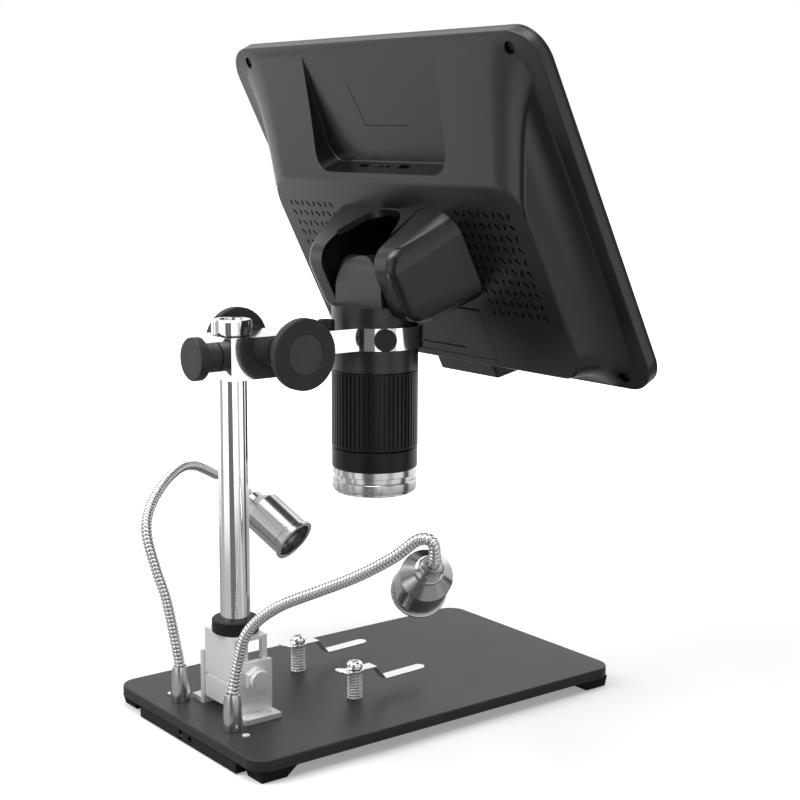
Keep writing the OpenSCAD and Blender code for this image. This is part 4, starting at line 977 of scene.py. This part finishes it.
def makeFloor():
    size = floorSize
    clearSelection()
    bpy.ops.mesh.primitive_plane_add(size=size["size"], location=(0, 0, 0))
    floor = bpy.context.object
    floor.name = "floor"
    applyPlace(floor)
    finish = bpy.data.materials.new("pale_floor")
    finish.use_nodes = True
    tree = finish.node_tree
    shader = tree.nodes["Principled BSDF"]
    shader.inputs["Roughness"].default_value = size["roughness"]
    shader.inputs["Specular IOR Level"].default_value = 0.0
    shader.inputs["Emission Color"].default_value = (1, 1, 1, 1)
    # the floor runs out into the white background, and the eye sees it paler than the part does
    place = tree.nodes.new("ShaderNodeTexCoord")
    away = tree.nodes.new("ShaderNodeVectorMath")
    away.operation = "LENGTH"
    tree.links.new(place.outputs["Object"], away.inputs[0])
    eye = rayKind(tree, ["Is Camera Ray"])
    near = mapRange(tree, eye, size["near"], size["nearSeen"])
    pale = mapRange(tree, eye, size["pale"], size["paleSeen"])
    tree.links.new(pale.outputs["Result"], shader.inputs["Base Color"])
    glow = mapRange(tree, away.outputs["Value"], 0.0, size["far"], size["from"], size["to"])
    tree.links.new(near.outputs["Result"], glow.inputs["To Min"])
    shown = mapRange(tree, rayKind(tree, whiteKinds), 0.0, 1.0)
    tree.links.new(glow.outputs["Result"], shown.inputs["To Max"])
    tree.links.new(shown.outputs["Result"], shader.inputs["Emission Strength"])
    floor.data.materials.append(finish)


worldGlow = {"lighting": 0.2, "seen": 1.0}
lightAim = (0, 0, 0.15)
lightSet = [  # place and size in metres, power in watts
    {"spot": (0.4, 0.9, 1.1), "size": 0.7, "power": 10},
    {"spot": (-0.2, 0.2, 1.7), "size": 1.2, "power": 13},
    {"spot": (0.1, -1.3, 1.1), "size": 1.2, "power": 5},
    {"spot": (0.85, 0.5, 0.32), "size": 0.4, "power": 0.5},
]


def makeLights():
    # rays from the eye, and those in a mirror or through glass, see white, and the rest give the light
    world = bpy.data.worlds.new("studio")
    bpy.context.scene.world = world
    world.use_nodes = True
    tree = world.node_tree
    background = tree.nodes["Background"]
    background.inputs["Color"].default_value = (1, 1, 1, 1)
    shown = mapRange(tree, rayKind(tree, whiteKinds), worldGlow["lighting"], worldGlow["seen"])
    tree.links.new(shown.outputs["Result"], background.inputs["Strength"])
    for setting in lightSet:
        clearSelection()
        bpy.ops.object.light_add(type="AREA", location=setting["spot"])
        light = bpy.context.object
        light.data.energy = setting["power"]
        light.data.size = setting["size"]
        aim = Vector(lightAim) - Vector(setting["spot"])
        light.rotation_euler = aim.to_track_quat("-Z", "Y").to_euler()


# cards round the stand, that only mirrored rays see: bright metal needs something dark to show
cardSize = {"near": 0.15, "far": 1.7, "low": 0.0006, "height": 2.4}
cardSet = [  # turn and spread in degrees, and how bright
    {"turn": 127.5, "spread": 33, "grey": 0.16},
    {"turn": 187.0, "spread": 16, "grey": 0.62},
    {"turn": 238.5, "spread": 22, "grey": 0.08},
    {"turn": 58.0, "spread": 28, "grey": 0.45},
    {"turn": 29.0, "spread": 7, "grey": 0.07},
]


def cardFinish(name, grey):
    finish = bpy.data.materials.new(name)
    finish.use_nodes = True
    shader = finish.node_tree.nodes["Principled BSDF"]
    shader.inputs["Base Color"].default_value = (0, 0, 0, 1)
    shader.inputs["Specular IOR Level"].default_value = 0.0
    shader.inputs["Emission Color"].default_value = (1, 1, 1, 1)
    shader.inputs["Emission Strength"].default_value = grey
    return finish


def makeCards():
    # each lies along the floor and stands up at its far end
    size = cardSize
    for index, setting in enumerate(cardSet):
        corners = []
        near, far, low = size["near"], size["far"], size["low"]
        for away, height in ((near, low), (far, low), (far, size["height"])):
            for side in (-1, 1):
                turn = math.radians(setting["turn"] + side * setting["spread"] / 2)
                corners.append((away * math.cos(turn), away * math.sin(turn), height))
        card = meshPiece("card_" + str(index + 1), corners, [(0, 1, 3, 2), (2, 3, 5, 4)])
        card.data.materials.append(cardFinish(card.name, setting["grey"]))
        card.visible_camera = False
        card.visible_diffuse = False
        card.visible_transmission = False
        card.visible_shadow = False


# place, lens and sensor in millimetres, turns in degrees and the near clip in metres
cameraPlace = {"x": -568.202, "y": 419.976, "z": 258.945, "azimuth": 232.427, "down": 9.592, "roll": 0.283,
               "lens": 71.13, "sensor": 36, "nearClip": 0.01}


def makeCamera():
    place = cameraPlace
    camera = bpy.data.objects.new("camera", bpy.data.cameras.new("camera"))
    bpy.context.scene.collection.objects.link(camera)
    camera.data.lens = place["lens"]
    camera.data.sensor_width = place["sensor"]
    camera.data.clip_start = place["nearClip"]
    camera.matrix_world = (
        Matrix.Translation((place["x"] * mm, place["y"] * mm, place["z"] * mm))
        @ Matrix.Rotation(math.radians(place["azimuth"]), 4, "Z")
        @ Matrix.Rotation(math.radians(90 - place["down"]), 4, "X")
        @ Matrix.Rotation(math.radians(place["roll"]), 4, "Z"))
    bpy.context.scene.camera = camera


makeFloor()
makeLights()
makeCards()
makeCamera()
bpy.context.scene.view_settings.view_transform = "Standard"
print("studio ready")
makeBase()
makeSockets()
makeBracket()
makePost()
makeClips()
print("base and post made")
makeCarriage()
makeBarrel()
print("carriage and barrel made")
makeScreen()
print("screen made")
makeLamps()
print("lamps made")
